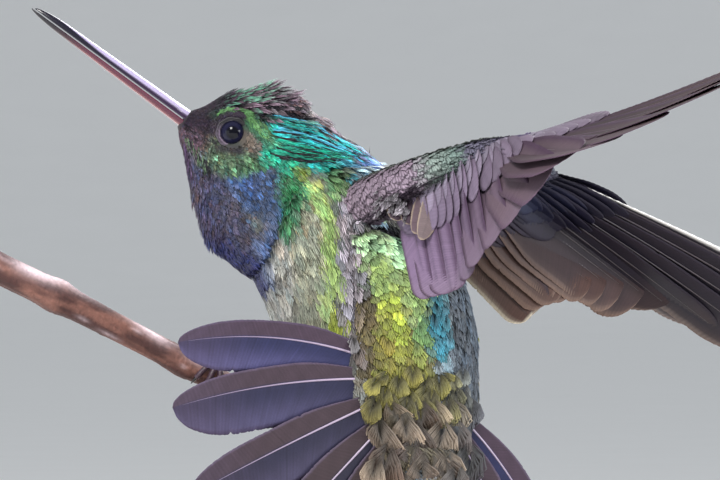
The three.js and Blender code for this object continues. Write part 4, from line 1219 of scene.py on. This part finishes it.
def rump():
    """Loose, rounded, fluffy coverts in rows, on the body or the tail's roots, whichever stands out."""
    rng = np.random.default_rng(31)
    trunk = Profile(0.55, 0.99)

    def resting(x, z, lift):
        body = trunk.surface[trunk.tree.find((x, 0, z))[1]][1]
        fan = TAIL_ROOT[1] - ((x - TAIL_ROOT[0]) * FACING[0] + (z - TAIL_ROOT[2]) * FACING[2]) / FACING[1]
        return np.array([x, min(body, fan + FACING[1] * OVER_TAIL), z]) + FACING * lift

    pile = Pile()
    for row, (height, length, count, lift) in enumerate(RUMP_ROWS):
        for i in range(count):
            u = (i + 0.5 * (row % 2)) / (count - 0.5) + rng.normal(0, 0.03)
            x0, x1 = (np.interp(u, [0, 1], ends) for ends in RUMP_SPAN)
            size = length * (1 - 0.2 * abs(2 * u - 1)) * rng.uniform(0.8, 1.15)
            z0 = height + rng.normal(0, 0.5)
            root = resting(x0, z0, lift - 0.3)
            tip = resting(x1 + rng.normal(0, 0.7), z0 - size, lift * rng.uniform(0.85, 1.2))
            along = unit(tip - root)
            beige = mix(BEIGE, MAROON, rng.uniform(0, 1) ** 2)
            warm = mix(beige, GOLD * 0.95, smooth(*GOLD_HEIGHTS, height) * 0.8)
            cool = mix(GREY, SLATE, rng.uniform(0, 1))
            colour = mix(warm, cool, smooth(0.7, 1.0, u) * 0.8) * np.exp(0.3 * rng.normal())
            out = across(unit(np.array([mix(-0.5, 0.65, u), -1.0, -0.15])), along)
            tufts(pile, root[None], along[None], out[None], size, 0.95 * size,
                  plume_tones(colour[None], 0.06, 0.42, 1.25, 1.55), 0.10, 0.16 * size, RUMP_BARBS, rng,
                  np.array([[0.5 * u, 0.5 - 0.03 * height]]), camber=0.06, shafted=0.7, blunt=0.2,
                  contrast=0.1, full=1.1, oval=1.0)
    pile.build("rump_coverts", "rump_feathers", SOFT_COAT, ("rump",), with_map=True)


# ---- crest, nape and the head's details ----


def crown_rows(t_from, t_to, rows, spread, count, rng):
    """Places in rows over the crown or the nape."""
    t = np.repeat(np.linspace(t_from, t_to, rows), count) + rng.normal(0, 0.002, rows * count)
    turn = np.tile(np.linspace(-spread, spread, count), rows) + rng.normal(0, 0.04, rows * count)
    turn = turn + np.repeat(np.arange(rows) % 2, count) * spread / count
    return t, turn


CREST = (0.095, 0.268)  # shares of the way along the body
CREST_SPREAD = 0.95
NAPE_REACH = (0.29, 0.455)


def crest():
    """Raised feathers of the crown, dark with green tips and brown at its blunt back end."""
    rng = np.random.default_rng(21)
    t, turn = crown_rows(*CREST, 18, CREST_SPREAD, 19, rng)
    p, back, out = skin_frame(t, turn)
    keys = [CREST[0], 0.15, 0.20, 0.24, CREST[1]]
    size = np.interp(t, keys, [0.8, 1.5, 2.0, 2.0, 1.7]) * rng.uniform(0.85, 1.1, len(t))
    lift = np.interp(t, keys, [0.12, 0.22, 0.34, 0.55, 0.62]) * (1 - 0.5 * (turn / CREST_SPREAD) ** 2)
    green = bell(t, 0.19, 0.042) * (rng.uniform(0, 1, len(t)) > 0.5)
    brown = smooth(0.14, 0.2, t)[:, None]
    base = mix(CROWN, CREST_BROWN, brown) * uneven(rng, 0.4, len(t))
    tip = mix(base * 1.2, CREST_TIP, 0.95 * green[:, None])
    along = strayed(back, out, 0.14, rng)
    pile = Pile()
    tones = (0.12 * base, 0.35 * base, mix(base, tip, 0.6), tip)
    tufts(pile, p, along, out, size, 0.32 * size, tones, lift, 0.03, 7, rng, skin_map(t, turn), blunt=0.6)
    pile.build("crest", "head_feathers", GLOSSY_COAT, with_map=True)


def nape():
    """Long pointed feathers that run from behind the crest to the shoulders."""
    rng = np.random.default_rng(22)
    t, turn = crown_rows(*NAPE_REACH, 12, 0.85, 17, rng)
    p, back, out = skin_frame(t, turn)
    size = np.interp(t, [NAPE_REACH[0], 0.36, NAPE_REACH[1]], [1.7, 2.2, 2.6])
    size = size * rng.uniform(0.8, 1.15, len(t))
    blue = smooth(0.4, 0.45, t)[:, None]
    side = smooth(0.5, 0.8, np.abs(turn))[:, None]
    colour = mix(mix(NAPE, LILAC_BLUE, blue), TEAL, 0.7 * side) * uneven(rng, 0.28, len(t))
    along = strayed(back, out, 0.1, rng)
    pile = Pile()
    tufts(pile, p, along, out, size, 0.34 * size, plume_tones(colour), 0.16, 0.04 * size, 7, rng,
          skin_map(t, turn), blunt=0.6)
    pile.build("nape_feathers", "head_feathers", GLOSSY_COAT, with_map=True)


PROFILE_GRID = (420, 260)  # how finely the skin is searched along the body and round it


class Profile:
    """Finds the place on the near side of the skin for a point of the profile."""

    def __init__(self, t_from, t_to):
        rows, columns = PROFILE_GRID
        t, turn = np.meshgrid(np.linspace(t_from, t_to, rows), np.linspace(-np.pi, 0, columns))
        self.t, self.turn = t.ravel(), turn.ravel()
        self.surface = on_skin(self.t, self.turn)
        self.tree = KDTree(len(self.surface))
        for k, (x, _, z) in enumerate(self.surface):
            self.tree.insert((x, 0, z), k)
        self.tree.balance()

    def places(self, x, z, side):
        """t and turn of the points, on the near side (1) or mirrored on the far one (-1)."""
        found = [self.tree.find((a, 0, b))[1] for a, b in zip(x, z)]
        t, turn = self.t[found], self.turn[found]
        return t, turn if side > 0 else 2 * spine(t) - turn


# Lines of feathers on each side of the head: points in profile, count, length, width against length,
# scatter to each side, lift and colour.
HEAD_LINES = [
    ([(-15.7, 19.5), (-14.4, 20.0), (-12.9, 19.7), (-11.5, 18.6), (-10.2, 17.3)],
     170, 0.6, 0.24, 0.09, 0.14, BROW),
    ([(-13.0, 19.7), (-12.2, 18.9), (-11.4, 17.8), (-10.6, 17.1)], 170, 0.6, 0.26, 0.13, 0.16, BROW * 1.25),
    ([(-12.5, 17.2), (-12.2, 16.5), (-11.4, 16.0)], 30, 0.5, 0.3, 0.12, 0.1, PINKISH),
    ([(-15.6, 20.7), (-13.2, 20.6), (-11.0, 19.9), (-8.8, 19.7)], 90, 1.0, 0.2, 0.14, 0.12, BLACKISH),
    ([(-11.0, 20.3), (-9.0, 20.2), (-6.8, 20.1)], 60, 1.1, 0.2, 0.12, 0.2, BLACKISH),
    ([(-18.9, 18.3), (-17.0, 17.2), (-15.6, 16.6)], 60, 0.6, 0.2, 0.12, 0.06, BLACKISH),
    ([(-18.5, 16.9), (-17.4, 15.4), (-16.8, 13.8)], 40, 1.1, 0.14, 0.2, 0.16, CHEEK),
    ([(-18.9, 16.4), (-18.6, 14.8), (-18.0, 13.0)], 40, 1.2, 0.2, 0.14, 0.2, LORES * 2.2),
    ([(-18.2, 16.6), (-17.0, 14.9), (-16.4, 13.4)], 50, 1.1, 0.16, 0.16, 0.16, BLACKISH),
    ([(-4.2, 15.0), (-2.0, 14.7), (1.0, 15.1)], 40, 1.6, 0.1, 0.06, 0.1, BLACKISH),
    ([(-1.7, 8.8), (0.4, 9.7), (2.9, 8.7)], 60, 0.9, 0.22, 0.1, 0.2, LILAC),
]
NECK_TOP = np.array([(-9.4, 19.5), (-5.6, 18.5), (-2.4, 16.8), (1.4, 15.9)])
NECK_BOTTOM = np.array([(-9.8, 15.4), (-7.4, 14.9), (-4.6, 14.9), (-1.8, 15.0)])
NECK_STREAKS = 15
UPPER_STREAKS = 0.6  # how far down they are blue by turns; green below
STRAY = 0.35  # a feather whose place on the skin lies further off its line is left out


def neck_streaks():
    """More such lines: streaks of the neck's side, dark and bright by turns."""
    for k in range(NECK_STREAKS):
        down = k / (NECK_STREAKS - 1)
        bright = [CYAN * 1.3, TURQUOISE * 1.2][k % 4 // 2] if down < UPPER_STREAKS else EMERALD
        yield mix(NECK_TOP, NECK_BOTTOM, down), 54, 1.9, 0.085, 0.10, 0.14, bright if k % 2 else BLACKISH


def head_lines(head):
    """The head's drawn details, both sides alike."""
    rng = np.random.default_rng(24)
    pile = Pile()
    for line, count, length, slender, scatter, lift, colour in (*HEAD_LINES, *neck_streaks()):
        s = np.sort(rng.uniform(0, 1, count))
        at = catmull(line, s)
        way = catmull(line, np.minimum(s + 0.02, 1)) - catmull(line, np.maximum(s - 0.02, 0))
        aside = unit(np.stack([-way[:, 1], way[:, 0]], -1))
        at = at + aside * rng.normal(0, scatter, (count, 1)) - unit(way) * 0.5 * length
        for side in (1, -1):
            t, turn = head.places(at[:, 0], at[:, 1], side)
            p, _, out = skin_frame(t, turn)
            along = across(np.stack([way[:, 0], 0 * s, way[:, 1]], -1), out)
            along = strayed(along, out, 0.06, rng)
            tone = colour * uneven(rng, 0.3, count)
            size = length * rng.uniform(0.8, 1.2, count)
            on = np.hypot(*(p[:, [0, 2]] - at).T) < STRAY
            tufts(pile, (p + 0.06 * out)[on], along[on], out[on], size[on], slender * size[on],
                  plume_tones(tone[on], 0.4, 0.7), lift, 0.03, 3, rng, skin_map(t, turn)[on])
    pile.build("head_lines", "head_feathers", GLOSSY_COAT, with_map=True)


EYE_RINGS = [(1.62, 0.34), (1.8, 0.4), (2.0, 0.46), (2.22, 0.52), (2.46, 0.58)]  # radius, feathers' length


def eye_rings(head):
    """The smallest feathers, in rings round each eye."""
    rng = np.random.default_rng(23)
    pile = Pile()
    for radius, size in EYE_RINGS:
        count = int(2 * np.pi * radius / (0.36 * size))
        a = 2 * np.pi * (np.arange(count) + rng.uniform(0, 1)) / count
        x, z = EYE["x"] + radius * np.cos(a), EYE["z"] + radius * np.sin(a)
        for side in (1, -1):
            t, turn = head.places(x, z, side)
            p, back, out = skin_frame(t, turn)
            along = strayed(around_eyes(p, back, out), out, 0.1, rng)
            tone = markings(t, turn) * uneven(rng, 0.3, count)
            tufts(pile, p, along, out, size, 0.5 * size, plume_tones(tone), 0.14, 0.03, 5, rng,
                  skin_map(t, turn))
    pile.build("eye_ring_feathers", "head_feathers", SOFT_COAT, with_map=True)


# ---- eyes and bill ----


# Folds of the lids from the eye outwards: radius, thickness, how far they stand before the eye's middle,
# how pale they are, and a seed.
LIDS = [(1.20, 0.05, 0.33, 0.3, 1), (1.29, 0.06, 0.40, 1.2, 2),
        (1.40, 0.08, 0.40, 0.5, 3), (1.53, 0.1, 0.42, 0.4, 4)]
LID_OVAL = (1.04, 0.96)  # their width and height against a circle's
BALL_GRID = (30, 48)


def eyes():
    """A wet black ball in each socket, ringed by the folds of its lids."""
    for side, name in ((-1, "left"), (1, "right")):
        centre = np.array([EYE["x"], side * EYE["depth"], EYE["z"]])
        rings, sides = BALL_GRID
        polar = np.linspace(0.02, np.pi - 0.02, rings)[:, None]
        turn = full_turn(sides)
        ring = [np.sin(polar) * np.cos(turn), side * np.cos(polar), np.sin(polar) * np.sin(turn)]
        ring = np.stack(np.broadcast_arrays(*ring), -1)
        pile = Pile()
        colour = mix(rgb(8, 8, 16), rgb(2, 2, 5), smooth(0.62, 0.5, polar)[..., None])
        pile.add(centre + EYE["radius"] * ring, grid_solid(rings, sides), np.repeat(colour, sides, 1))
        pile.build(f"eye_{name}_ball", "eye", EYEBALL, (f"eye_{name}",))
        lids = Pile()
        for radius, thick, lift, shade, seed in LIDS:
            rng = np.random.default_rng(seed)
            a = full_turn(90)
            wobble = 1 + 0.02 * np.sin(9 * a + seed) + rng.normal(0, 0.006, len(a))
            x, z = (k * radius * wobble * way for k, way in zip(LID_OVAL, (np.cos(a), np.sin(a))))
            line = centre + np.stack([x, side * (lift + 0 * a), z], -1)
            below = smooth(-0.2, 0.8, np.cos(a + 2.3))[:, None]
            tone = mix(BLACKISH, EYE_SKIN, below) * shade * (1 + 0.25 * np.sin(23 * a + seed))[:, None]
            tube(lids, np.vstack([line, line[:1]]), thick, 8, np.vstack([tone, tone[:1]]))
        lids.build(f"eye_{name}_lids", "head_feathers", SKIN)


BILL_GRID = (90, 28)  # rows along each half and points in each


def bill():
    """Two horny halves: a flat-based arch over a shallow trough, with the nostril's flap at the base. The
    pale band along the upper half's top is a painted reflection of the sky.
    """
    base = np.array(BILL["base"])
    along = np.array([-math.cos(BILL["rise"]), 0, math.sin(BILL["rise"])])
    up = np.array([math.sin(BILL["rise"]), 0, math.cos(BILL["rise"])])
    for half, name, depth, longer in ((1, "upper", 1.05, 0.0), (-1, "lower", 0.75, 0.3)):
        rows, sides = BILL_GRID
        t = np.linspace(-0.06, 1, rows)
        end = np.clip((t - 0.8) / 0.2, 0, 1)
        close = np.sqrt(np.clip(1 - end**2.2, 0.02, 1))
        wide = 1.1 * (1 - 0.6 * t.clip(0)) * close
        tall = depth * (1 - 0.42 * t.clip(0)) * close
        turn = np.linspace(0, np.pi, sides)
        x = wide[:, None] * np.cos(turn)
        z = half * (0.06 + tall[:, None] * np.sin(turn) ** 0.85)
        height = np.sin(turn)
        if half > 0:
            flap = bell(t, 0.07, 0.05)[:, None] * bell(height, 0.55, 0.2)
            slit = bell(t, 0.085, 0.035)[:, None] * bell(height, 0.36, 0.1)
            x = x * (1 + 0.07 * flap - 0.28 * slit)
            dark = mix(rgb(14, 8, 18), rgb(5, 4, 10), smooth(0.0, 0.8, t)[:, None, None])
            # painted reflection: a pale band over the upper half's top, narrowing towards the tip, stands for
            # the sky mirrored in the horn
            fade = 0.7 * smooth(0.5, 1.0, t)[:, None]
            painted_sky_reflection = smooth(0.28 + fade, 0.5 + fade, height) * (1 - 0.8 * smooth(0.985, 1.0, height))
            colour = mix(dark, rgb(62, 58, 70), 0.9 * painted_sky_reflection[..., None])
        else:
            red = mix(rgb(28, 9, 17), rgb(50, 27, 29), smooth(0.35, 0.95, height)[:, None])
            colour = mix(red, rgb(6, 4, 8), smooth(0.55, 0.88, t)[:, None, None])
        line = base + along * (t * (BILL["length"] + longer))[:, None]
        points = line[:, None] + np.array([0, 1, 0]) * x[..., None] + up * z[..., None]
        pile = Pile()
        pile.add(points, grid_solid(rows, sides), colour)
        pile.build(f"bill_{name}_horn", "bill_dark" if half > 0 else "bill_red", HORN, (f"bill_{name}",))


# ---- perch, legs and feet ----


def twig_line(s):
    """The twig's centre line, evenly spaced along its length."""
    fine = catmull(TWIG["line"], np.linspace(0, 1, 400))
    run = np.concatenate([[0], np.cumsum(np.linalg.norm(np.diff(fine, axis=0), axis=1))])
    return np.stack([np.interp(s, run / run[-1], fine[:, k]) for k in range(3)], -1)


def twig_radius(s):
    return mix(TWIG["thick_end"], TWIG["thin_end"], s)


BARK_GRID = (420, 40)  # rows along the twig and points in each
FIBRES, KNOBS, PEELED = 14, 26, 34
# the pale colour of the peeled patches and of the painted highlight
PALE_BARK_AND_HIGHLIGHT = rgb(88, 80, 83)


def perch():
    """The twig's thin bark: fibres, small knobs, a pale streak along its upper side that is a painted
    highlight, and pale peeled patches.
    """
    rows, sides = BARK_GRID
    s = np.linspace(0, 1, rows)[:, None]
    turn = full_turn(sides)
    rng = np.random.default_rng(11)

    def near(at, angle, length, width):
        """How near each point of the bark lies to a place on it."""
        return bell(s, at, length) * bell(wrapped(turn - angle), 0, width)

    grain = np.zeros((rows, sides))
    for _ in range(FIBRES):
        count, phase, drift = rng.integers(3, 12), rng.uniform(0, 6.3), rng.normal(0, 3)
        grain += 0.012 * np.sin(count * turn + drift * 6 * s + phase)
    grain += rng.normal(0, 0.008, (rows, sides))
    for _ in range(KNOBS):
        at, angle = rng.uniform(0, 1), rng.uniform(0, 2 * np.pi)
        grain += 0.05 * near(at, angle, 0.006, 0.35)
    fibre = 0.75 + 0.25 * smooth(-0.6, 1.2, grain / 0.05)
    # painted highlight: a pale streak along the twig's upper side; the peeled patches that join it are the
    # bark's own pale spots
    highlight_and_peel = bell(wrapped(turn - 1.12 * np.pi - 0.3 * np.sin(17 * s)), 0, 0.5)
    highlight_and_peel = highlight_and_peel * (0.55 + 0.45 * np.sin(41 * s + 2 * np.sin(13 * s)))
    for _ in range(PEELED):
        at, angle, length = rng.uniform(0, 1), rng.uniform(0, 2 * np.pi), rng.uniform(0.006, 0.03)
        highlight_and_peel = np.maximum(highlight_and_peel, rng.uniform(0.2, 0.6) * near(at, angle, length, 0.16))
    where = np.stack(np.broadcast_arrays(14 * s, np.cos(turn), np.sin(turn)), -1)
    patches = smooth(-0.8, 1.2, wave_noise(where, 0.9, 5) + 0.5 * wave_noise(3 * where, 0.9, 6))
    colour = mix(rgb(24, 13, 12), rgb(46, 31, 27), (patches * fibre)[..., None])
    colour = mix(colour, PALE_BARK_AND_HIGHLIGHT, (highlight_and_peel * fibre)[..., None])
    s = s[:, 0]
    swell = sum(TWIG["knot_rise"] * bell(s, k, TWIG["knot_length"]) for k in TWIG["knots"])
    pile = Pile()
    tube(pile, twig_line(s), twig_radius(s) + swell, sides, colour, bumps=grain)
    pile.build("perch_bark", "bark", BARK, ("perch_twig",))


TOES = [(125, -1.3), (140, 0), (125, 1.3), (-130, 0)]  # how far each curls, in degrees, and spreads
TOE_RINGS = 60  # of a toe's whole curl; skin and claw each take a part of it
TOE_SKIN, TOE_CLAW = slice(0, 46), slice(43, 60)


def feet():
    """On each foot three toes close round the twig one way and one the other, all scaled and clawed."""
    k = np.arange(TOE_RINGS)
    scale = np.abs(np.sin(0.62 * k))
    joint = np.sin(0.2 * k) > 0.6
    radius = TOE_RADIUS * (1 - 0.25 * k / k[-1]) * (0.9 + 0.05 * scale + 0.06 * joint)
    tone = rgb(19, 12, 17) * (0.75 + 0.5 * scale)[:, None]
    for name, at in FEET.items():
        before, centre, after = twig_line(np.array([at - 0.01, at, at + 0.01]))
        axis = unit(after - before)
        ring = twig_radius(at) + GAP + TOE_RADIUS
        top = across(np.array([0.45, -0.3, 0.85]), axis)
        near = np.cross(axis, top)
        near = -near if near[1] > 0 else near
        toes, claws = Pile(), Pile()
        for curl, spread in TOES:
            a = np.radians(curl * k / k[-1])[:, None]
            shift = spread * np.sin(np.pi / 2 * k / k[-1])[:, None]
            line = centre + ring * (top * np.cos(a) + near * np.sin(a)) + axis * shift
            tube(toes, line[TOE_SKIN], radius[TOE_SKIN], 12, tone[TOE_SKIN], axis)
            claw = line[TOE_CLAW]
            tube(claws, claw, np.linspace(0.24, 0.05, len(claw)), 10, rgb(6, 5, 6), axis)
        toes.build(f"foot_{name}_toes", "foot_scales", SKIN, (f"foot_{name}",))
        claws.build(f"foot_{name}_claws", "foot_scales", HORN)
        leg(name, centre + top * ring)


DOWNY = 0.62  # the share of the leg under down
DOWN_FEATHERS = 420


def leg(name, ankle):
    """A downy thigh and a thin scaled shank."""
    rng = np.random.default_rng(120 if name == "left" else 121)
    hip = np.array(HIPS[name], float)
    shank, down = Pile(), Pile()
    line = mix(hip, ankle, np.linspace(0, 1, 40)[:, None])
    radius = 0.4 + 0.04 * np.abs(np.sin(1.1 * np.arange(len(line))))
    tube(shank, line, radius, 12, rgb(30, 22, 26), (0, 0, 1))
    shank.build(f"leg_{name}_shank", "leg_down", SKIN, (f"leg_{name}",))
    s = rng.uniform(0.0, DOWNY, DOWN_FEATHERS)
    turn = rng.uniform(0, 2 * np.pi, DOWN_FEATHERS)
    along = unit(ankle - hip)
    first = unit(np.cross(along, [0, 0, 1.0]))
    second = np.cross(along, first)
    out = first * np.cos(turn)[:, None] + second * np.sin(turn)[:, None]
    root = mix(hip, ankle, s[:, None]) + out * np.interp(s, [0, DOWNY], [1.3, 0.35])[:, None]
    size = rng.uniform(0.9, 1.5, DOWN_FEATHERS)
    flow = strayed(np.broadcast_to(along, root.shape), out, 0.15, rng)
    tone = DOWN * rng.uniform(0.75, 1.1, (DOWN_FEATHERS, 1))
    tufts(down, root, flow, out, size, 0.6 * size, plume_tones(tone, 0.6, 1, 1, 1), 0.25, 0.1, 7, rng,
          limb_map(s, turn))
    down.build(f"leg_{name}_down", "leg_down", SOFT_COAT, with_map=True)


# ---- stand ----


def stand_materials():
    """Varnished turned wood and satin brass on the stand's own solids."""
    wood, tree, shader = node_material("turned_wood", Roughness=0.38, Coat_Weight=0.25, Coat_Roughness=0.2)
    years = add_node(tree, "TexWave", Vector=object_place(tree, (0.35, 1, 1)), Scale=210, Distortion=7,
                     Detail=3, Detail_Scale=1.4)
    years.wave_type, years.bands_direction = "BANDS", "Y"
    ramp_onto(tree, shader, years, rgb(43, 28, 17), rgb(57, 40, 25))
    bump_from(tree, shader, noise_node(tree, 3000, stretch=(0.1, 1, 1)), 0.00003, 0.5)
    brass, tree, shader = node_material("satin_brass", Base_Color=(0.68, 0.49, 0.24, 1), Metallic=1.0)
    noise = noise_node(tree, 4000, stretch=(1, 1, 0.05))
    spread = add_node(tree, "MapRange", Value=noise.outputs["Fac"], To_Min=0.22, To_Max=0.4)
    wire(tree, shader, Roughness=spread.outputs["Result"])
    bump_from(tree, shader, noise, 0.00001, 0.4)
    for node, material in (("stand_base", wood), ("stand_rod", brass), ("stand_collar", brass)):
        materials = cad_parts[node].data.materials
        materials.clear()
        materials.append(material)


# ---- studio ----

WALL, CURVE = 7.0, 2.2  # metres behind the object and up that the backdrop reaches, and its bend's radius
FLOOR_REACH = 9.0
CAMERA_PLACE = (-1.5, -1200, 7)
LENS, SENSOR = 600, 36
LIT_PLACE = (0, 0, 4)
LIGHTS = [  # name, place in mm from the breast, width in m, power, colour
    ("key_light", (-160, -480, 480), 0.22, 6.6, (1.0, 0.98, 0.95)),
    ("side_light", (520, -200, 90), 0.25, 2.6, (0.95, 0.98, 1.0)),
    ("rim_light", (260, 420, 380), 0.4, 5.0, (1.0, 1.0, 1.0)),
    ("low_light", (-420, -300, -20), 0.4, 1.0, (0.92, 1.0, 0.96)),
]


def backdrop():
    """A pale floor that curves up into a wall."""
    bend = [(WALL - CURVE + CURVE * math.sin(a), CURVE - CURVE * math.cos(a))
            for a in np.linspace(0, math.pi / 2, 24)]
    side = [(-FLOOR_REACH, 0.0), *bend, (WALL, WALL)]
    points = [(x, y, BASE_LOW.z + z) for y, z in side for x in (-FLOOR_REACH, FLOOR_REACH)]
    faces = [(2 * i, 2 * i + 1, 2 * i + 3, 2 * i + 2) for i in range(len(side) - 1)]
    mesh = bpy.data.meshes.new("studio_floor")
    mesh.from_pydata(points, [], faces)
    mesh.shade_smooth()
    material, tree, shader = node_material("pale_floor", Roughness=0.9)
    ramp_onto(tree, shader, noise_node(tree, 30, 2.0), (0.88, 0.89, 0.89), (0.91, 0.92, 0.92))
    mesh.materials.append(material)
    floor = shown("studio_floor", mesh)


def studio():
    """The backdrop, soft lights and the camera at the photo's angle."""
    backdrop()
    world = bpy.data.worlds.new("studio_air")
    world.use_nodes = True
    wire(world.node_tree, world.node_tree.nodes["Background"], Color=(0.93, 0.96, 1.0, 1), Strength=0.55)
    for name, spot, width, power, tone in LIGHTS:
        data = bpy.data.lights.new(name, "AREA")
        data.size, data.energy, data.color = width, power, tone
        lamp = shown(name, data)
        lamp.location = placed(spot)
        aim = Vector(placed(LIT_PLACE)) - lamp.location
        lamp.rotation_euler = aim.to_track_quat("-Z", "Y").to_euler()
    data = bpy.data.cameras.new("photo_camera")
    data.lens, data.sensor_width = LENS, SENSOR
    data.clip_start, data.clip_end = 0.05, 20
    camera = shown("photo_camera", data)
    camera.location = placed(CAMERA_PLACE)
    camera.rotation_euler = (math.pi / 2, 0, 0)
    scene = bpy.context.scene
    scene.world, scene.camera = world, camera
    scene.view_settings.view_transform = "Standard"


studio()
skin()
coat("face_feathers", 0.03, 0.24, "head_feathers", GLOSSY_COAT, 1, 4, gap=0.42, loose=0.1)
coat("head_coat", 0.235, 0.40, "head_feathers", GLOSSY_COAT, 2, 5, gap=0.4, loose=0.1)
coat("neck_coat", 0.395, 0.56, "throat_feathers", GLOSSY_COAT, 3, 6, gap=0.36)
coat("back_coat", 0.55, 0.74, "back_feathers", SOFT_COAT, 4, 9, 0.6)
coat("belly_coat", 0.73, 0.985, "rump_feathers", SOFT_COAT, 5, 11, 0.8)
crest()
nape()
head = Profile(0.02, 0.58)
head_lines(head)
eye_rings(head)
rump()
tail()
for wing, tones in ((LEFT_WING, LEFT_SHADES), (RIGHT_WING, RIGHT_TONES_IN_PAINTED_SHADE)):
    arm(wing, tones)
    coverts(wing, tones)
    flight_feathers(wing, tones)
armpit()
eyes()
bill()
perch()
feet()
stand_materials()
